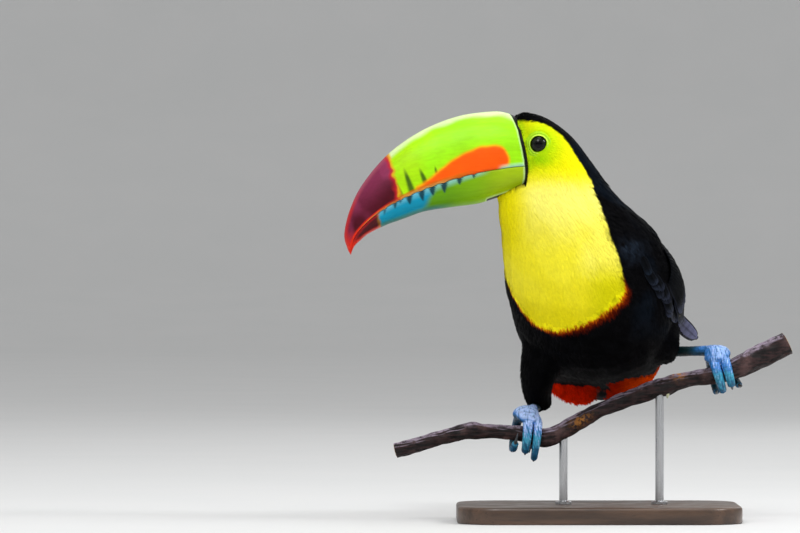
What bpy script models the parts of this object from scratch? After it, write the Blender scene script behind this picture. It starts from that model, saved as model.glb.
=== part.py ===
"""A life-size keel-billed toucan on a short cut branch, carried by a plain display stand.

Metres, +Z up. The bird faces -Y and looks along -X, and the origin is the centre of the stand's underside.
The sizes below are in millimetres and degrees, and become metres where a mesh is made.
"""

import math

import bmesh
import bpy
from mathutils import Vector

MM = 0.001
GAP = 0.3  # clearance between pieces that touch

# Head, neck and trunk are one form along the spine, from the tail's root to the crown.
# Each station is x, y, z of its centre, half its width, half its depth, and the power that squares its oval.
SPINE = (
    (8, 95, 104, 16, 9.5, 0.95),
    (7, 80, 104, 29, 17.5, 0.85),
    (5, 61, 108, 39, 26, 0.8),
    (3, 39, 120.5, 47.5, 31, 0.88),
    (-1, 15, 135, 55, 40.5, 0.95),
    (-3.5, -8, 151.5, 58.5, 48, 1),
    (-6, -24, 169, 60.5, 49, 1),
    (-11, -33, 188, 58.5, 44, 1),
    (-15.5, -38, 205, 55, 37.5, 1),
    (-23, -40, 217, 49.5, 33.5, 1),
    (-29.5, -41, 230, 41.5, 30, 1),
    (-29, -41, 242, 32.5, 27.5, 1),
    (-34, -41, 257, 26.5, 25, 1),
    (-39, -41, 270, 21.5, 23, 1),
    (-44.5, -41, 280, 15.2, 18.5, 1),
    (-48.5, -41, 286, 8.5, 11.5, 1),
    (-50, -41, 287.8, 3.5, 5, 1),
)
SPINE_RINGS = 29
SPINE_SIDES = 24
TRUNK_YAW = 13  # how far the trunk turns to its right of -Y
TWIST_TOP = 215  # the turn fades out up the neck, over TWIST_SPAN below this height
TWIST_SPAN = 60
NECK_BASE = 203  # heights where the neck and the head begin
HEAD_BASE = 236

# The bill lies in the plane y = HEAD_Y. Points are x, z, from the base to the tip.
HEAD_Y = -41
CULMEN = ((-57, 284), (-66, 287.6), (-77, 288.4), (-100, 285), (-125, 275), (-148, 259), (-166, 238),
          (-175, 220), (-179, 203), (-177, 193), (-174.4, 188))
TOMIUM = ((-46, 250.5), (-66, 248.6), (-91, 244), (-119, 235.5), (-143, 225), (-160, 213.5),
          (-170, 203), (-173.4, 195), (-174.2, 188.6))
GONYS = ((-46, 234.5), (-62, 231.3), (-74, 227.5), (-86, 223.9), (-104, 221.5), (-123, 218.5), (-138, 213.2),
         (-150, 208.9), (-162, 202.9), (-169, 197.2), (-172.6, 194.2))
BILL_RINGS = 18
BILL_SIDES = 12
BILL_HALF_WIDTH = 20.5
BILL_TIP_HALF_WIDTH = 0.8
BILL_FULLNESS = 1.7  # above 1 the bill keeps its width further along
BILL_TAPER = 0.8  # below 1 it narrows to the tip more suddenly
UPPER_KEEL = 0.85  # below 1 the mandible is flatter on its crest, above 1 it has a keel
LOWER_KEEL = 0.7

EYE_X, EYE_Z = -43, 266.3
EYE_RADIUS = 6.6
EYE_OUT = 17.6  # from the head's midplane to the eyeball's centre

# The folded left wing, from its bend to its tip. Each station is a point on the lower edge, on the middle
# and on the upper edge, each x, y, z, and half the thickness. The right wing mirrors it.
WING_LEFT = (
    (38, -53, 175, 38.5, -54, 181, 36, -51, 187, 2.2),
    (47.5, -43, 166, 46, -40, 182, 37, -35, 199, 4),
    (53.5, -23, 151, 51.5, -17, 173, 30, -10, 202, 5),
    (56, 2, 139, 50.5, 10, 162, 18, 15, 192, 5.2),
    (59, 28, 132.5, 50.5, 36, 151, 13, 39, 166, 4.6),
    (63.5, 52, 129, 56, 60, 141, 25, 63, 149, 3.6),
    (70, 76, 126, 65.5, 81, 133.5, 48, 83, 139, 2.5),
    (75.5, 96, 125.5, 75, 97, 128, 71, 97.5, 131, 1.3),
)
WING_RINGS = 13
WING_STEPS = 8
WING_EDGE_SHARE = 0.25  # the edges' thickness as a share of the middle's
WING_FULLNESS = 0.7  # below 1 the wing keeps its thickness nearer to its edges
BETWEEN_WINGS = (-0.5, 0, 0)  # a point on the upright plane that the wings mirror in

TAIL_ROOT = (9.5, 80, 106)
TAIL_TIP = (30, 238, 113)
# Each station is a share of the tail's length, and half its width there.
TAIL_STATIONS = ((0, 14), (0.15, 17.5), (0.35, 20), (0.6, 22), (0.8, 23), (0.9, 21.5), (0.96, 17),
                 (0.99, 11), (1, 6))
TAIL_HALF_THICKNESS = 5
TAIL_TIP_HALF_THICKNESS = 1.2
TAIL_SIDES = 16

# The branch's centreline, x, y, z and radius, from its thin end to its thick end.
BRANCH = (
    (-143, 6, 49.8, 5.4),
    (-127, 4, 53.9, 5.5),
    (-107, 2, 60, 5.2),
    (-92, 0, 63.4, 6),
    (-80, 0, 63.5, 5.4),
    (-58, 0, 62.3, 5.3),
    (-40, 1, 59.3, 6.3),
    (-28, 1, 62, 6.5),
    (-14, 1, 70.1, 6),
    (-2, 0.5, 76.7, 5.6),
    (14, 0, 83.6, 5.8),
    (43, 0, 94.3, 6.5),
    (64, 0, 100, 5.5),
    (78, 0, 102.2, 6.1),
    (90, 0, 104.8, 6.4),
    (100, 0, 109, 7.7),
    (114, 1, 116, 8.5),
    (134, 2, 125.8, 8.4),
)
BRANCH_RINGS = 28
BRANCH_SIDES = 10
BRANCH_STEPS = 200  # for finding a place along it

# Thighs from the hip down: x, y, z, half width, half depth. Ankles and soles: x, y, z.
THIGH_LEFT = ((34, 2, 138, 22, 27), (43, 12, 127, 16, 19), (48, 22, 120, 9.5, 10), (51, 28, 118.5, 5.5, 6))
THIGH_RIGHT = ((-33, 0, 128, 21, 26), (-41.5, 6, 107, 14.5, 18), (-42.5, 17, 91, 11, 12.5),
               (-39, 24, 79.5, 8.5, 8))
THIGH_RINGS = 8
THIGH_SIDES = 14
ANKLE_LEFT, SOLE_LEFT = (49, 28, 119.3), (83, 3, 120.5)
ANKLE_RIGHT, SOLE_RIGHT = (-39.5, 24, 83), (-49, 3, 77)
SHANK_RADIUS = 3.3
SHANK_SIDES = 10
# Each station is a share of the way from the ankle to the sole, and what the radius gains there.
SHANK_STATIONS = ((0, 0.8), (0.3, 0), (0.75, 0), (1, 0.8))
SHANK_RINGS = 5

FOOT_AT_LEFT = 87  # where the feet grip the branch, along X
FOOT_AT_RIGHT = -52.3
PAD_RISE = 13  # the pad's centre above the branch's
PAD_HALF_LENGTH = 9  # along the branch
PAD_HALF_THICKNESS = 4.8
# Each station is a reach to the front, a share of the pad's full section, and how far it droops.
PAD_STATIONS = ((-9.5, 0.4, 3), (-8, 0.75, 2), (-4, 0.97, 0.5), (0, 1, 0), (4, 0.97, 0.5), (8, 0.75, 2),
                (9.5, 0.4, 3))
PAD_RINGS = 9
PAD_SIDES = 12
# Toes: name, place along the branch at the knuckle, drift along it by the tip, 1 in front of the branch or
# -1 behind, degrees round the branch where it ends, how far its end hangs below the branch's centre, radius.
TOES_LEFT = (
    ("inner_front", -3.8, 1.8, 1, 158, 12.5, 3.45),
    ("outer_front", 4.2, 0.6, 1, 138, 12.5, 3.45),
    ("inner_back", -5.2, -1, -1, 165, 12, 3.1),
    ("outer_back", 4.5, 6, -1, 160, 11.5, 3.1),
)
TOES_RIGHT = (
    ("inner_front", 7.2, 2.6, 1, 160, 16.5, 2.9),
    ("outer_front", -0.3, 3, 1, 150, 13.5, 3.45),
    ("inner_back", 5, 1, -1, 140, 11.5, 3),
    ("outer_back", -6, 0.4, -1, 232, 12, 3),
)
TOE_START = 8  # degrees round the branch, inside the pad
TOE_START_RISE = 11.5
TOE_REACH = 10.8  # from the branch's centre to a toe's, in front or behind
TOE_TAPER = 0.28
TOE_WIDENING = 1.06
TOE_STEPS = 8
TOE_SIDES = 8
CLAW_LENGTH = 9.5
CLAW_ROOT = 1.6  # how deep a claw starts inside its toe
CLAW_CURL = 4
CLAW_RADIUS = 1.75
CLAW_TIP_RADIUS = 0.35
CLAW_TAPER = 0.8
CLAW_NARROWING = 0.8  # its width as a share of its depth
CLAW_STEPS = 5
CLAW_SIDES = 6

BASE_LENGTH, BASE_WIDTH, BASE_HEIGHT = 200, 132, 12
BASE_CORNER = 30
BASE_EDGE = 1.5
BASE_CORNER_STEPS = 5
ROD_RADIUS = 3
ROD_PLACES = {"stand_rod_right": -24, "stand_rod_left": 44}  # along X, under the branch

UP = Vector((0, 0, 1))
SMOOTH_BELOW = math.radians(50)


def clear_scene():
    for obj in list(bpy.data.objects):
        bpy.data.objects.remove(obj, do_unlink=True)


def new_collection(name):
    collection = bpy.data.collections.new(name)
    bpy.context.scene.collection.children.link(collection)
    return collection


def material(name, colour, roughness, metallic=0.0):
    made = bpy.data.materials.new(name)
    made.use_nodes = True
    shader = made.node_tree.nodes["Principled BSDF"]
    shader.inputs["Base Color"].default_value = (*colour, 1.0)
    shader.inputs["Roughness"].default_value = roughness
    shader.inputs["Metallic"].default_value = metallic
    return made


def curve(a, b, c, d, t):
    """The Catmull-Rom value a share t of the way from b to c."""
    square, cube = 2 * a - 5 * b + 4 * c - d, 3 * b - a - 3 * c + d
    return 0.5 * (2 * b + (c - a) * t + square * t ** 2 + cube * t ** 3)


def through(stations, count):
    """count tuples at even steps on a smooth Catmull-Rom curve through the stations."""
    last = len(stations) - 1
    made = []
    for step in range(count):
        place = step / (count - 1) * last
        i = min(int(place), last - 1)
        t = place - i
        before, start, end, after = (stations[min(max(k, 0), last)] for k in (i - 1, i, i + 1, i + 2))
        made.append(tuple(curve(a, b, c, d, t) for a, b, c, d in zip(before, start, end, after)))
    return made


def loft(name, rings, collection, look):
    """A closed solid through rings of points, with flat ends."""
    shape = bmesh.new()
    rows = [[shape.verts.new(Vector(point) * MM) for point in ring] for ring in rings]
    for lower, upper in zip(rows, rows[1:]):
        for k in range(len(lower)):
            following = (k + 1) % len(lower)
            shape.faces.new((lower[k], lower[following], upper[following], upper[k]))
    shape.faces.new(rows[0])
    shape.faces.new(rows[-1])
    bmesh.ops.recalc_face_normals(shape, faces=shape.faces)
    mesh = bpy.data.meshes.new(name)
    shape.to_mesh(mesh)
    shape.free()
    mesh.materials.append(look)
    mesh.shade_smooth()
    mesh.set_sharp_from_angle(angle=SMOOTH_BELOW)
    obj = bpy.data.objects.new(name, mesh)
    collection.objects.link(obj)
    return obj


def squared(value, power):
    return math.copysign(abs(value) ** power, value)


def oval(centre, side, depth, half_width, half_depth, sides, power=1.0):
    side, depth = side * half_width, depth * half_depth
    turns = [2 * math.pi * k / sides for k in range(sides)]
    return [centre + side * squared(math.cos(a), power) + depth * squared(math.sin(a), power) for a in turns]


def tangents(points):
    """The direction of the path at each of its points."""
    last = len(points) - 1
    return [(points[min(i + 1, last)] - points[max(i - 1, 0)]).normalized() for i in range(last + 1)]


def tube(name, stations, count, sides, side, collection, look):
    """A loft along a path. Stations are x, y, z, half width along side, half depth."""
    path = through(stations, count)
    points = [Vector(station[:3]) for station in path]
    rings = []
    for station, point, along in zip(path, points, tangents(points)):
        depth = along.cross(side).normalized()
        rings.append(oval(point, depth.cross(along), depth, station[3], station[4], sides))
    return loft(name, rings, collection, look)


def grown_copy(obj, cutters):
    """A wireframe helper: the object, grown by the clearance."""
    shape = bmesh.new()
    shape.from_mesh(obj.data)
    shape.normal_update()
    for vert in shape.verts:
        vert.co += vert.normal * GAP * MM * max(1.0, vert.calc_shell_factor())
    mesh = bpy.data.meshes.new("grown_" + obj.name)
    shape.to_mesh(mesh)
    shape.free()
    copy = bpy.data.objects.new("grown_" + obj.name, mesh)
    copy.matrix_world = obj.matrix_world
    copy.hide_render = True
    copy.display_type = "WIRE"
    cutters.objects.link(copy)
    return copy


def carve(target, neighbours, cutters):
    """Cuts room for each neighbour out of the target, with a gap round it."""
    for neighbour in neighbours:
        cut = target.modifiers.new("room_for_" + neighbour.name, "BOOLEAN")
        cut.operation = "DIFFERENCE"
        cut.solver = "EXACT"
        cut.object = grown_copy(neighbour, cutters)


def trunk_side(yaw=TRUNK_YAW):
    """The direction of the trunk's width, towards its left."""
    return Vector((math.cos(math.radians(yaw)), -math.sin(math.radians(yaw)), 0))


def make_flesh(collection, looks):
    """Trunk, neck and head: one form along the spine, parted by two flat cuts."""
    path = through(SPINE, SPINE_RINGS)
    points = [Vector(station[:3]) for station in path]
    ways = tangents(points)
    rings = []
    for station, point, along in zip(path, points, ways):
        twist = min(max((TWIST_TOP - point.z) / TWIST_SPAN, 0), 1)
        side = trunk_side(TRUNK_YAW * twist)
        depth = along.cross(side).normalized()
        rings.append(oval(point, side, depth, station[3], station[4], SPINE_SIDES, station[5]))
    neck = next(i for i, point in enumerate(points) if point.z > NECK_BASE)
    head = next(i for i, point in enumerate(points) if point.z > HEAD_BASE)

    def from_cut(start, end):
        """The rings of a piece whose first ring is moved up by the gap."""
        first = [point + ways[start] * GAP for point in rings[start]]
        return [first] + rings[start + 1 : end]

    return (
        loft("trunk", rings[: neck + 1], collection, looks["black"]),
        loft("neck", from_cut(neck, head + 1), collection, looks["yellow"]),
        loft("head", from_cut(head, len(rings)), collection, looks["yellow"]),
    )


def bill_half_width(share):
    """Half the bill's width, a share of the way from its base to its tip."""
    taper = (1 - share ** BILL_FULLNESS) ** BILL_TAPER
    return BILL_TIP_HALF_WIDTH + (BILL_HALF_WIDTH - BILL_TIP_HALF_WIDTH) * taper


def make_mandible(name, crest, keel, lift, collection, look):
    """Half a bill: each ring runs from one cutting edge over the crest to the other, and straight back."""
    rings = []
    edges = through(TOMIUM, BILL_RINGS)
    for i, ((edge_x, edge_z), (crest_x, crest_z)) in enumerate(zip(edges, through(crest, BILL_RINGS))):
        half_width = bill_half_width(i / (BILL_RINGS - 1))
        ring = []
        for k in range(BILL_SIDES + 1):
            turn = math.pi * k / BILL_SIDES
            rise = math.sin(turn) ** keel
            ring.append((
                edge_x + (crest_x - edge_x) * rise,
                HEAD_Y + half_width * math.cos(turn),
                edge_z + lift + (crest_z - edge_z - lift) * rise,
            ))
        rings.append(ring)
    return loft(name, rings, collection, look)


def into(collection, obj, name, look):
    """Names an object that an operator made, gives it its material and moves it to the collection."""
    obj.name = name
    obj.data.materials.append(look)
    obj.data.shade_smooth()
    obj.data.set_sharp_from_angle(angle=SMOOTH_BELOW)
    for holder in list(obj.users_collection):
        holder.objects.unlink(obj)
    collection.objects.link(obj)
    return obj


def make_eye(name, way, collection, looks):
    bpy.ops.mesh.primitive_uv_sphere_add(
        segments=12, ring_count=8, radius=EYE_RADIUS * MM,
        location=Vector((EYE_X, HEAD_Y + way * EYE_OUT, EYE_Z)) * MM,
    )
    return into(collection, bpy.context.object, name, looks["eye"])


def mirrored(point):
    """A point's place on the other side of the trunk's midplane."""
    side = trunk_side()
    return point - 2 * (point - Vector(BETWEEN_WINGS)).dot(side) * side


def wing_section(lower, middle, upper, half_thickness):
    """A lens bent through three points: its outer face from the lower edge up, then its inner face down."""
    bend = 2 * middle - (lower + upper) / 2
    chord = upper - lower
    outward = chord.cross(middle - lower).cross(chord).normalized()
    outer, inner = [], []
    for k in range(WING_STEPS + 1):
        u = k / WING_STEPS
        centre = lower * (1 - u) ** 2 + bend * 2 * u * (1 - u) + upper * u * u
        swell = WING_EDGE_SHARE + (1 - WING_EDGE_SHARE) * math.sin(math.pi * u) ** WING_FULLNESS
        outer.append(centre + outward * half_thickness * swell)
        inner.append(centre - outward * half_thickness * swell)
    return outer + inner[::-1]


def make_wing(name, flip, collection, looks):
    rings = []
    for station in through(WING_LEFT, WING_RINGS):
        ring = wing_section(Vector(station[:3]), Vector(station[3:6]), Vector(station[6:9]), station[9])
        rings.append([mirrored(point) for point in ring] if flip else ring)
    return loft(name, rings, collection, looks["black"])


def make_tail(collection, looks):
    root, tip = Vector(TAIL_ROOT), Vector(TAIL_TIP)
    side = (tip - root).cross(UP).normalized()
    up = side.cross(tip - root).normalized()
    rings = []
    for share, half_width in TAIL_STATIONS:
        thickness = TAIL_HALF_THICKNESS + (TAIL_TIP_HALF_THICKNESS - TAIL_HALF_THICKNESS) * share
        rings.append(oval(root.lerp(tip, share), side, up, half_width, thickness, TAIL_SIDES))
    return loft("tail", rings, collection, looks["black"])


def make_leg(side, thigh, ankle, sole, collection, looks):
    across = Vector((1, 0, 0))
    thigh = tube("thigh_" + side, thigh, THIGH_RINGS, THIGH_SIDES, across, collection, looks["black"])
    ankle, sole = Vector(ankle), Vector(sole)
    stations = [
        (*ankle.lerp(sole, share), SHANK_RADIUS + gain, SHANK_RADIUS + gain) for share, gain in SHANK_STATIONS
    ]
    shank = tube("shank_" + side, stations, SHANK_RINGS, SHANK_SIDES, UP, collection, looks["skin"])
    return thigh, shank


def make_branch(collection, looks):
    stations = [(x, y, z, radius, radius) for x, y, z, radius in BRANCH]
    return tube("perch", stations, BRANCH_RINGS, BRANCH_SIDES, Vector((0, 1, 0)), collection, looks["bark"])


def branch_at(x):
    """The branch's centre and direction where it crosses the plane at x."""
    path = [Vector(station[:3]) for station in through(BRANCH, BRANCH_STEPS)]
    i = min(range(len(path)), key=lambda k: abs(path[k].x - x))
    return path[i], tangents(path)[i]


def make_toe(name, toe, centre, along, up, collection, looks):
    """A toe bent round the branch, and the claw that carries on from its tip."""
    place, drift, way, end, drop, radius = toe
    front = along.cross(up)
    stations = []
    for k in range(TOE_STEPS):
        share = k / (TOE_STEPS - 1)
        turn = math.radians(TOE_START + (end - TOE_START) * share)
        rise = (TOE_START_RISE if math.cos(turn) > 0 else drop) * math.cos(turn)
        reach = way * TOE_REACH * math.sin(turn)
        point = centre + along * (place + drift * share) + up * rise + front * reach
        thickness = radius * (1 - TOE_TAPER * share)
        stations.append((*point, thickness * TOE_WIDENING, thickness))
    toe = tube("toe_" + name, stations, TOE_STEPS, TOE_SIDES, along, collection, looks["skin"])
    tip, before = Vector(stations[-1][:3]), Vector(stations[-2][:3])
    ahead = (tip - before).normalized()
    inward = (centre + along * (place + drift) - tip).normalized()
    stations = []
    for k in range(CLAW_STEPS):
        share = k / (CLAW_STEPS - 1)
        point = tip + ahead * (CLAW_LENGTH * share - CLAW_ROOT) + inward * CLAW_CURL * share * share
        radius = CLAW_RADIUS * (1 - share) ** CLAW_TAPER + CLAW_TIP_RADIUS
        stations.append((*point, radius * CLAW_NARROWING, radius))
    claw = tube("claw_" + name, stations, CLAW_STEPS, CLAW_SIDES, along, collection, looks["claw"])
    return toe, claw


def make_foot(side, at_x, toes, collection, looks):
    """A pad over the branch, and four toes round it: two in front and two behind."""
    centre, along = branch_at(at_x)
    up = (UP - along * along.z).normalized()
    front = along.cross(up)
    stations = []
    for reach, swell, droop in PAD_STATIONS:
        point = centre + up * (PAD_RISE - droop) + front * reach
        stations.append((*point, PAD_HALF_LENGTH * swell, PAD_HALF_THICKNESS * swell))
    pad = tube("foot_" + side, stations, PAD_RINGS, PAD_SIDES, along, collection, looks["skin"])
    return pad, [make_toe(f"{name}_{side}", toe, centre, along, up, collection, looks) for name, *toe in toes]


def make_base(collection, looks):
    """A flat plate with round corners, its underside at z = 0."""
    outline = bpy.data.curves.new("stand_base", "CURVE")
    outline.dimensions = "2D"
    outline.fill_mode = "BOTH"
    outline.extrude = (BASE_HEIGHT / 2 - BASE_EDGE) * MM
    outline.bevel_depth = BASE_EDGE * MM
    outline.bevel_resolution = 0
    points = []
    for quarter, (sx, sy) in enumerate(((1, 1), (-1, 1), (-1, -1), (1, -1))):
        for step in range(BASE_CORNER_STEPS + 1):
            turn = math.radians(90 * (quarter + step / BASE_CORNER_STEPS))
            points.append((
                sx * (BASE_LENGTH / 2 - BASE_CORNER - BASE_EDGE) + BASE_CORNER * math.cos(turn),
                sy * (BASE_WIDTH / 2 - BASE_CORNER - BASE_EDGE) + BASE_CORNER * math.sin(turn),
            ))
    rim = outline.splines.new("POLY")
    rim.points.add(len(points) - 1)
    for point, (x, y) in zip(rim.points, points):
        point.co = (x * MM, y * MM, 0, 1)
    rim.use_cyclic_u = True
    outline.materials.append(looks["stand"])
    base = bpy.data.objects.new("stand_base", outline)
    base.location.z = BASE_HEIGHT / 2 * MM
    collection.objects.link(base)


def make_rod(name, x, collection, looks):
    """An upright rod from the base up to the branch's centreline."""
    centre, _ = branch_at(x)
    foot = BASE_HEIGHT + GAP
    bpy.ops.mesh.primitive_cylinder_add(
        vertices=16, radius=ROD_RADIUS * MM, depth=(centre.z - foot) * MM,
        location=Vector((centre.x, centre.y, (centre.z + foot) / 2)) * MM,
    )
    return into(collection, bpy.context.object, name, looks["rod"])


def main():
    clear_scene()
    parts = new_collection("toucan")
    cutters = new_collection("cutters")
    looks = {
        "black": material("black_plumage", (0.012, 0.012, 0.014), 0.45),
        "yellow": material("yellow_plumage", (0.85, 0.75, 0.08), 0.6),
        "bill": material("green_bill", (0.35, 0.75, 0.05), 0.25),
        "eye": material("dark_eye", (0.01, 0.01, 0.01), 0.05),
        "skin": material("blue_skin", (0.25, 0.5, 0.75), 0.5),
        "claw": material("grey_claw", (0.08, 0.1, 0.13), 0.35),
        "bark": material("brown_bark", (0.1, 0.05, 0.04), 0.7),
        "stand": material("dark_wood", (0.05, 0.035, 0.03), 0.4),
        "rod": material("steel", (0.5, 0.5, 0.5), 0.3, 1.0),
    }
    trunk, neck, head = make_flesh(parts, looks)
    upper = make_mandible("bill_upper", CULMEN, UPPER_KEEL, GAP / 2, parts, looks["bill"])
    lower = make_mandible("bill_lower", GONYS, LOWER_KEEL, -GAP / 2, parts, looks["bill"])
    eyes = [make_eye("eye_left", -1, parts, looks), make_eye("eye_right", 1, parts, looks)]
    wings = [make_wing("wing_left", False, parts, looks), make_wing("wing_right", True, parts, looks)]
    tail = make_tail(parts, looks)
    branch = make_branch(parts, looks)
    legs = [
        make_leg("left", THIGH_LEFT, ANKLE_LEFT, SOLE_LEFT, parts, looks),
        make_leg("right", THIGH_RIGHT, ANKLE_RIGHT, SOLE_RIGHT, parts, looks),
    ]
    feet = [
        make_foot("left", FOOT_AT_LEFT, TOES_LEFT, parts, looks),
        make_foot("right", FOOT_AT_RIGHT, TOES_RIGHT, parts, looks),
    ]
    make_base(parts, looks)
    rods = [make_rod(name, x, parts, looks) for name, x in ROD_PLACES.items()]

    carve(head, [upper, lower, *eyes], cutters)
    carve(neck, [lower], cutters)
    carve(trunk, [tail, *wings, *(thigh for thigh, _ in legs)], cutters)
    for wing, (thigh, shank), (pad, toes) in zip(wings, legs, feet):
        carve(thigh, [wing, shank, pad], cutters)
        carve(shank, [pad], cutters)
        for toe, claw in toes:
            carve(toe, [pad], cutters)
            carve(claw, [toe], cutters)
    carve(branch, rods, cutters)


main()
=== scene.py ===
"""The looks of a life-size keel-billed toucan on a cut branch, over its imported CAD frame.

Points and sizes are millimetres, and become metres where a mesh is made. The bird looks along -X.
"""

import math

import bmesh
import bpy
import numpy as np
from mathutils import Matrix, Vector
from mathutils.bvhtree import BVHTree
from mathutils.kdtree import KDTree
from numpy.linalg import norm


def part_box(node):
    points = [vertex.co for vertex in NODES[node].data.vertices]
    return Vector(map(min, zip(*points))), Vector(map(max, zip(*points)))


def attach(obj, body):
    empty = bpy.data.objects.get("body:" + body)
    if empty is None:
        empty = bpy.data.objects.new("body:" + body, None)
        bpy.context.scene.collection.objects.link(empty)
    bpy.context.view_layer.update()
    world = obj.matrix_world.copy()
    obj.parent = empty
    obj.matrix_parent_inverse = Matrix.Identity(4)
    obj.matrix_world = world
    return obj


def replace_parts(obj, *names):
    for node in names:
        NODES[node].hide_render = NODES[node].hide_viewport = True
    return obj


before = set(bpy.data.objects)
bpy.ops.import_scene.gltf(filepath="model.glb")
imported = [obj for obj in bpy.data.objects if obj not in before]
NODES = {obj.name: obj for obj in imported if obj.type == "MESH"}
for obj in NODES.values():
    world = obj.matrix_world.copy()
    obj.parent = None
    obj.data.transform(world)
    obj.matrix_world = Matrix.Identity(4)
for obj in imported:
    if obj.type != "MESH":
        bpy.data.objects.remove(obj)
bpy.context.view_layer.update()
MM = 0.001
FAR_OFF = 1e9

# The spine from the tail's root to the crown: x, y, z.
SPINE = ((9, 112, 105), (7, 80, 104), (5, 61, 108), (3, 39, 120.5), (-1, 15, 135), (-3.5, -8, 151.5),
         (-6, -24, 169), (-11, -33, 188), (-15.5, -38, 205), (-23, -40, 217), (-29.5, -41, 230),
         (-29, -41, 242), (-34, -41, 257), (-39, -41, 270), (-44.5, -41, 280), (-50, -41, 287.8))
HEAD_Y = -41
HEAD_BASE = 236
FACE_X = -45  # only what lies in front of here is near the bill

# The bill's outlines in the head's midplane: x, z, from the base to the tip.
CULMEN = ((-57, 284), (-66, 287.6), (-77, 288.4), (-100, 285), (-125, 275), (-148, 259), (-166, 238),
          (-175, 220), (-179, 203), (-177, 193), (-174.4, 188))
TOMIUM = ((-46, 250.5), (-66, 248.6), (-91, 244), (-119, 235.5), (-143, 225), (-160, 213.5),
          (-170, 203), (-173.4, 195), (-174.2, 188.6))
GONYS = ((-46, 234.5), (-62, 231.3), (-74, 227.5), (-86, 223.9), (-104, 221.5), (-123, 218.5), (-138, 213.2),
         (-150, 208.9), (-162, 202.9), (-169, 197.2), (-172.6, 194.2))
# The line of black skin where the bill meets the face: x, z, from the forehead down and forward to the chin.
BILL_LINE = ((-63.5, 288), (-61.6, 285), (-56.9, 275), (-54.2, 263), (-52.9, 256), (-52, 249), (-52, 242),
             (-53.2, 235.6), (-57, 233), (-63.5, 230.8), (-71.4, 228.2), (-78, 226))

CHIN_TOP = 234.5  # where that line turns forward, under the bill
LINE_END = 234.6  # below here there is no black on the skin itself
CHIN_LINE, SIDE_LINE = 1.5, 1.0  # how far the black line lies on the bill itself, there and above

EYE_X, EYE_Z = -43, 265.3
EYE_RADIUS = 6.6
EYE_OUT = 17.6  # from the head's midplane to each eye's centre
EYE_OPENING = 5.75
EYE_SKIN = 9.6  # the bare ring's outer radius

# The yellow bib: heights, and half its width in degrees round the spine, from its lowest point up.
BIB = ((134.6, 0), (135.8, 7), (139.2, 16), (143.2, 22.5), (147.2, 29), (151.6, 35.3), (157.5, 43.5), (163, 49),
       (171.5, 55.5), (186, 76), (200, 95), (215, 122), (227, 139), (240, 138))
BIB_LOW_TURN, BIB_HIGH_TURN = 24.5, 90  # where its midline faces, in degrees from -Y towards -X
BIB_TURN_FROM, BIB_TURN_TO = 158, 232
DEGREE = 0.9  # about how long a degree round the spine is on the skin
# The black cap's edge on the head: x, z, from the bill back and down.
CAP_EDGE = ((-66, 282.6), (-51, 281.6), (-39, 279.4), (-33, 276.4), (-26.4, 271), (-22, 264.7), (-18, 258),
            (-12.5, 250), (-7.7, 241.6), (-2, 233), (3, 224))

# The folded left wing from its bend to its tip: lower edge, middle and upper edge, and half its thickness.
WING_LEFT = (
    (38, -53, 175, 38.5, -54, 181, 36, -51, 187, 2.2),
    (47.5, -43, 166, 46, -40, 182, 37, -35, 199, 4),
    (53.5, -23, 151, 51.5, -17, 173, 30, -10, 202, 5),
    (56, 2, 139, 50.5, 10, 162, 18, 15, 192, 5.2),
    (59, 28, 132.5, 50.5, 36, 151, 13, 39, 166, 4.6),
    (63.5, 52, 129, 56, 60, 141, 25, 63, 149, 3.6),
    (70, 76, 126, 65.5, 81, 133.5, 48, 83, 139, 2.5),
    (75.5, 96, 125.5, 75, 97, 128, 71, 97.5, 131, 1.3),
)
TRUNK_YAW = 13  # degrees that the trunk's midplane, through the next point, is turned
BETWEEN_WINGS = (-0.5, 0, 0)

TAIL_ROOT = (9.5, 80, 106)
TAIL_TIP = (30, 238, 113)

# The branch's centreline, x, y, z and radius, from its thin end to its thick end.
BRANCH = (
    (-143, 6, 49.8, 5.4), (-127, 4, 53.9, 5.5), (-107, 2, 60, 5.2), (-92, 0, 63.4, 6), (-80, 0, 63.5, 5.4),
    (-58, 0, 62.3, 5.3), (-40, 1, 59.3, 6.3), (-28, 1, 62, 6.5), (-14, 1, 70.1, 6), (-2, 0.5, 76.7, 5.6),
    (14, 0, 83.6, 5.8), (43, 0, 94.3, 6.5), (64, 0, 100, 5.5), (78, 0, 102.2, 6.1), (90, 0, 104.8, 6.4),
    (100, 0, 109, 7.7), (114, 1, 116, 8.5), (134, 2, 125.8, 8.4),
)

COAT_DEPTH = 1.5  # how far the skin lies inside the solids
OVERLAP = 0.7  # how far the solids are grown, so that they merge

rng = np.random.default_rng(20)


# ---------------------------------------------------------------- shapes

def through(stations, count):
    """count points at even steps on a smooth Catmull-Rom curve through the stations."""
    s = np.array(stations, float)
    place = np.linspace(0, len(s) - 1, count)
    i = np.minimum(place.astype(int), len(s) - 2)
    t = (place - i)[:, None]
    a, b, c, d = (s[np.clip(i + k, 0, len(s) - 1)] for k in (-1, 0, 1, 2))
    return 0.5 * (2 * b + (c - a) * t + (2 * a - 5 * b + 4 * c - d) * t**2 + (3 * b - a - 3 * c + d) * t**3)


def unit(v):
    """Vectors of length 1."""
    return v / np.maximum(norm(v, axis=-1, keepdims=True), 1e-9)


def across(v, n):
    """The part of v that lies in the plane whose normal is n, as a unit vector."""
    return unit(v - (v * n).sum(-1, keepdims=True) * n)


def smooth(low, high, value):
    """0 up to low and 1 from high on, with a soft step between; high may be the lower one."""
    t = np.clip((value - low) / (high - low), 0, 1)
    return t * t * (3 - 2 * t)


def blend(a, b, share):
    """a where share is 0 and b where it is 1, for numbers or rows of colours."""
    a, b, share = (np.asarray(value, float) for value in (a, b, share))
    if 3 in (*a.shape[-1:], *b.shape[-1:]):
        share = share[..., None]
    return a + (b - a) * share


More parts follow.
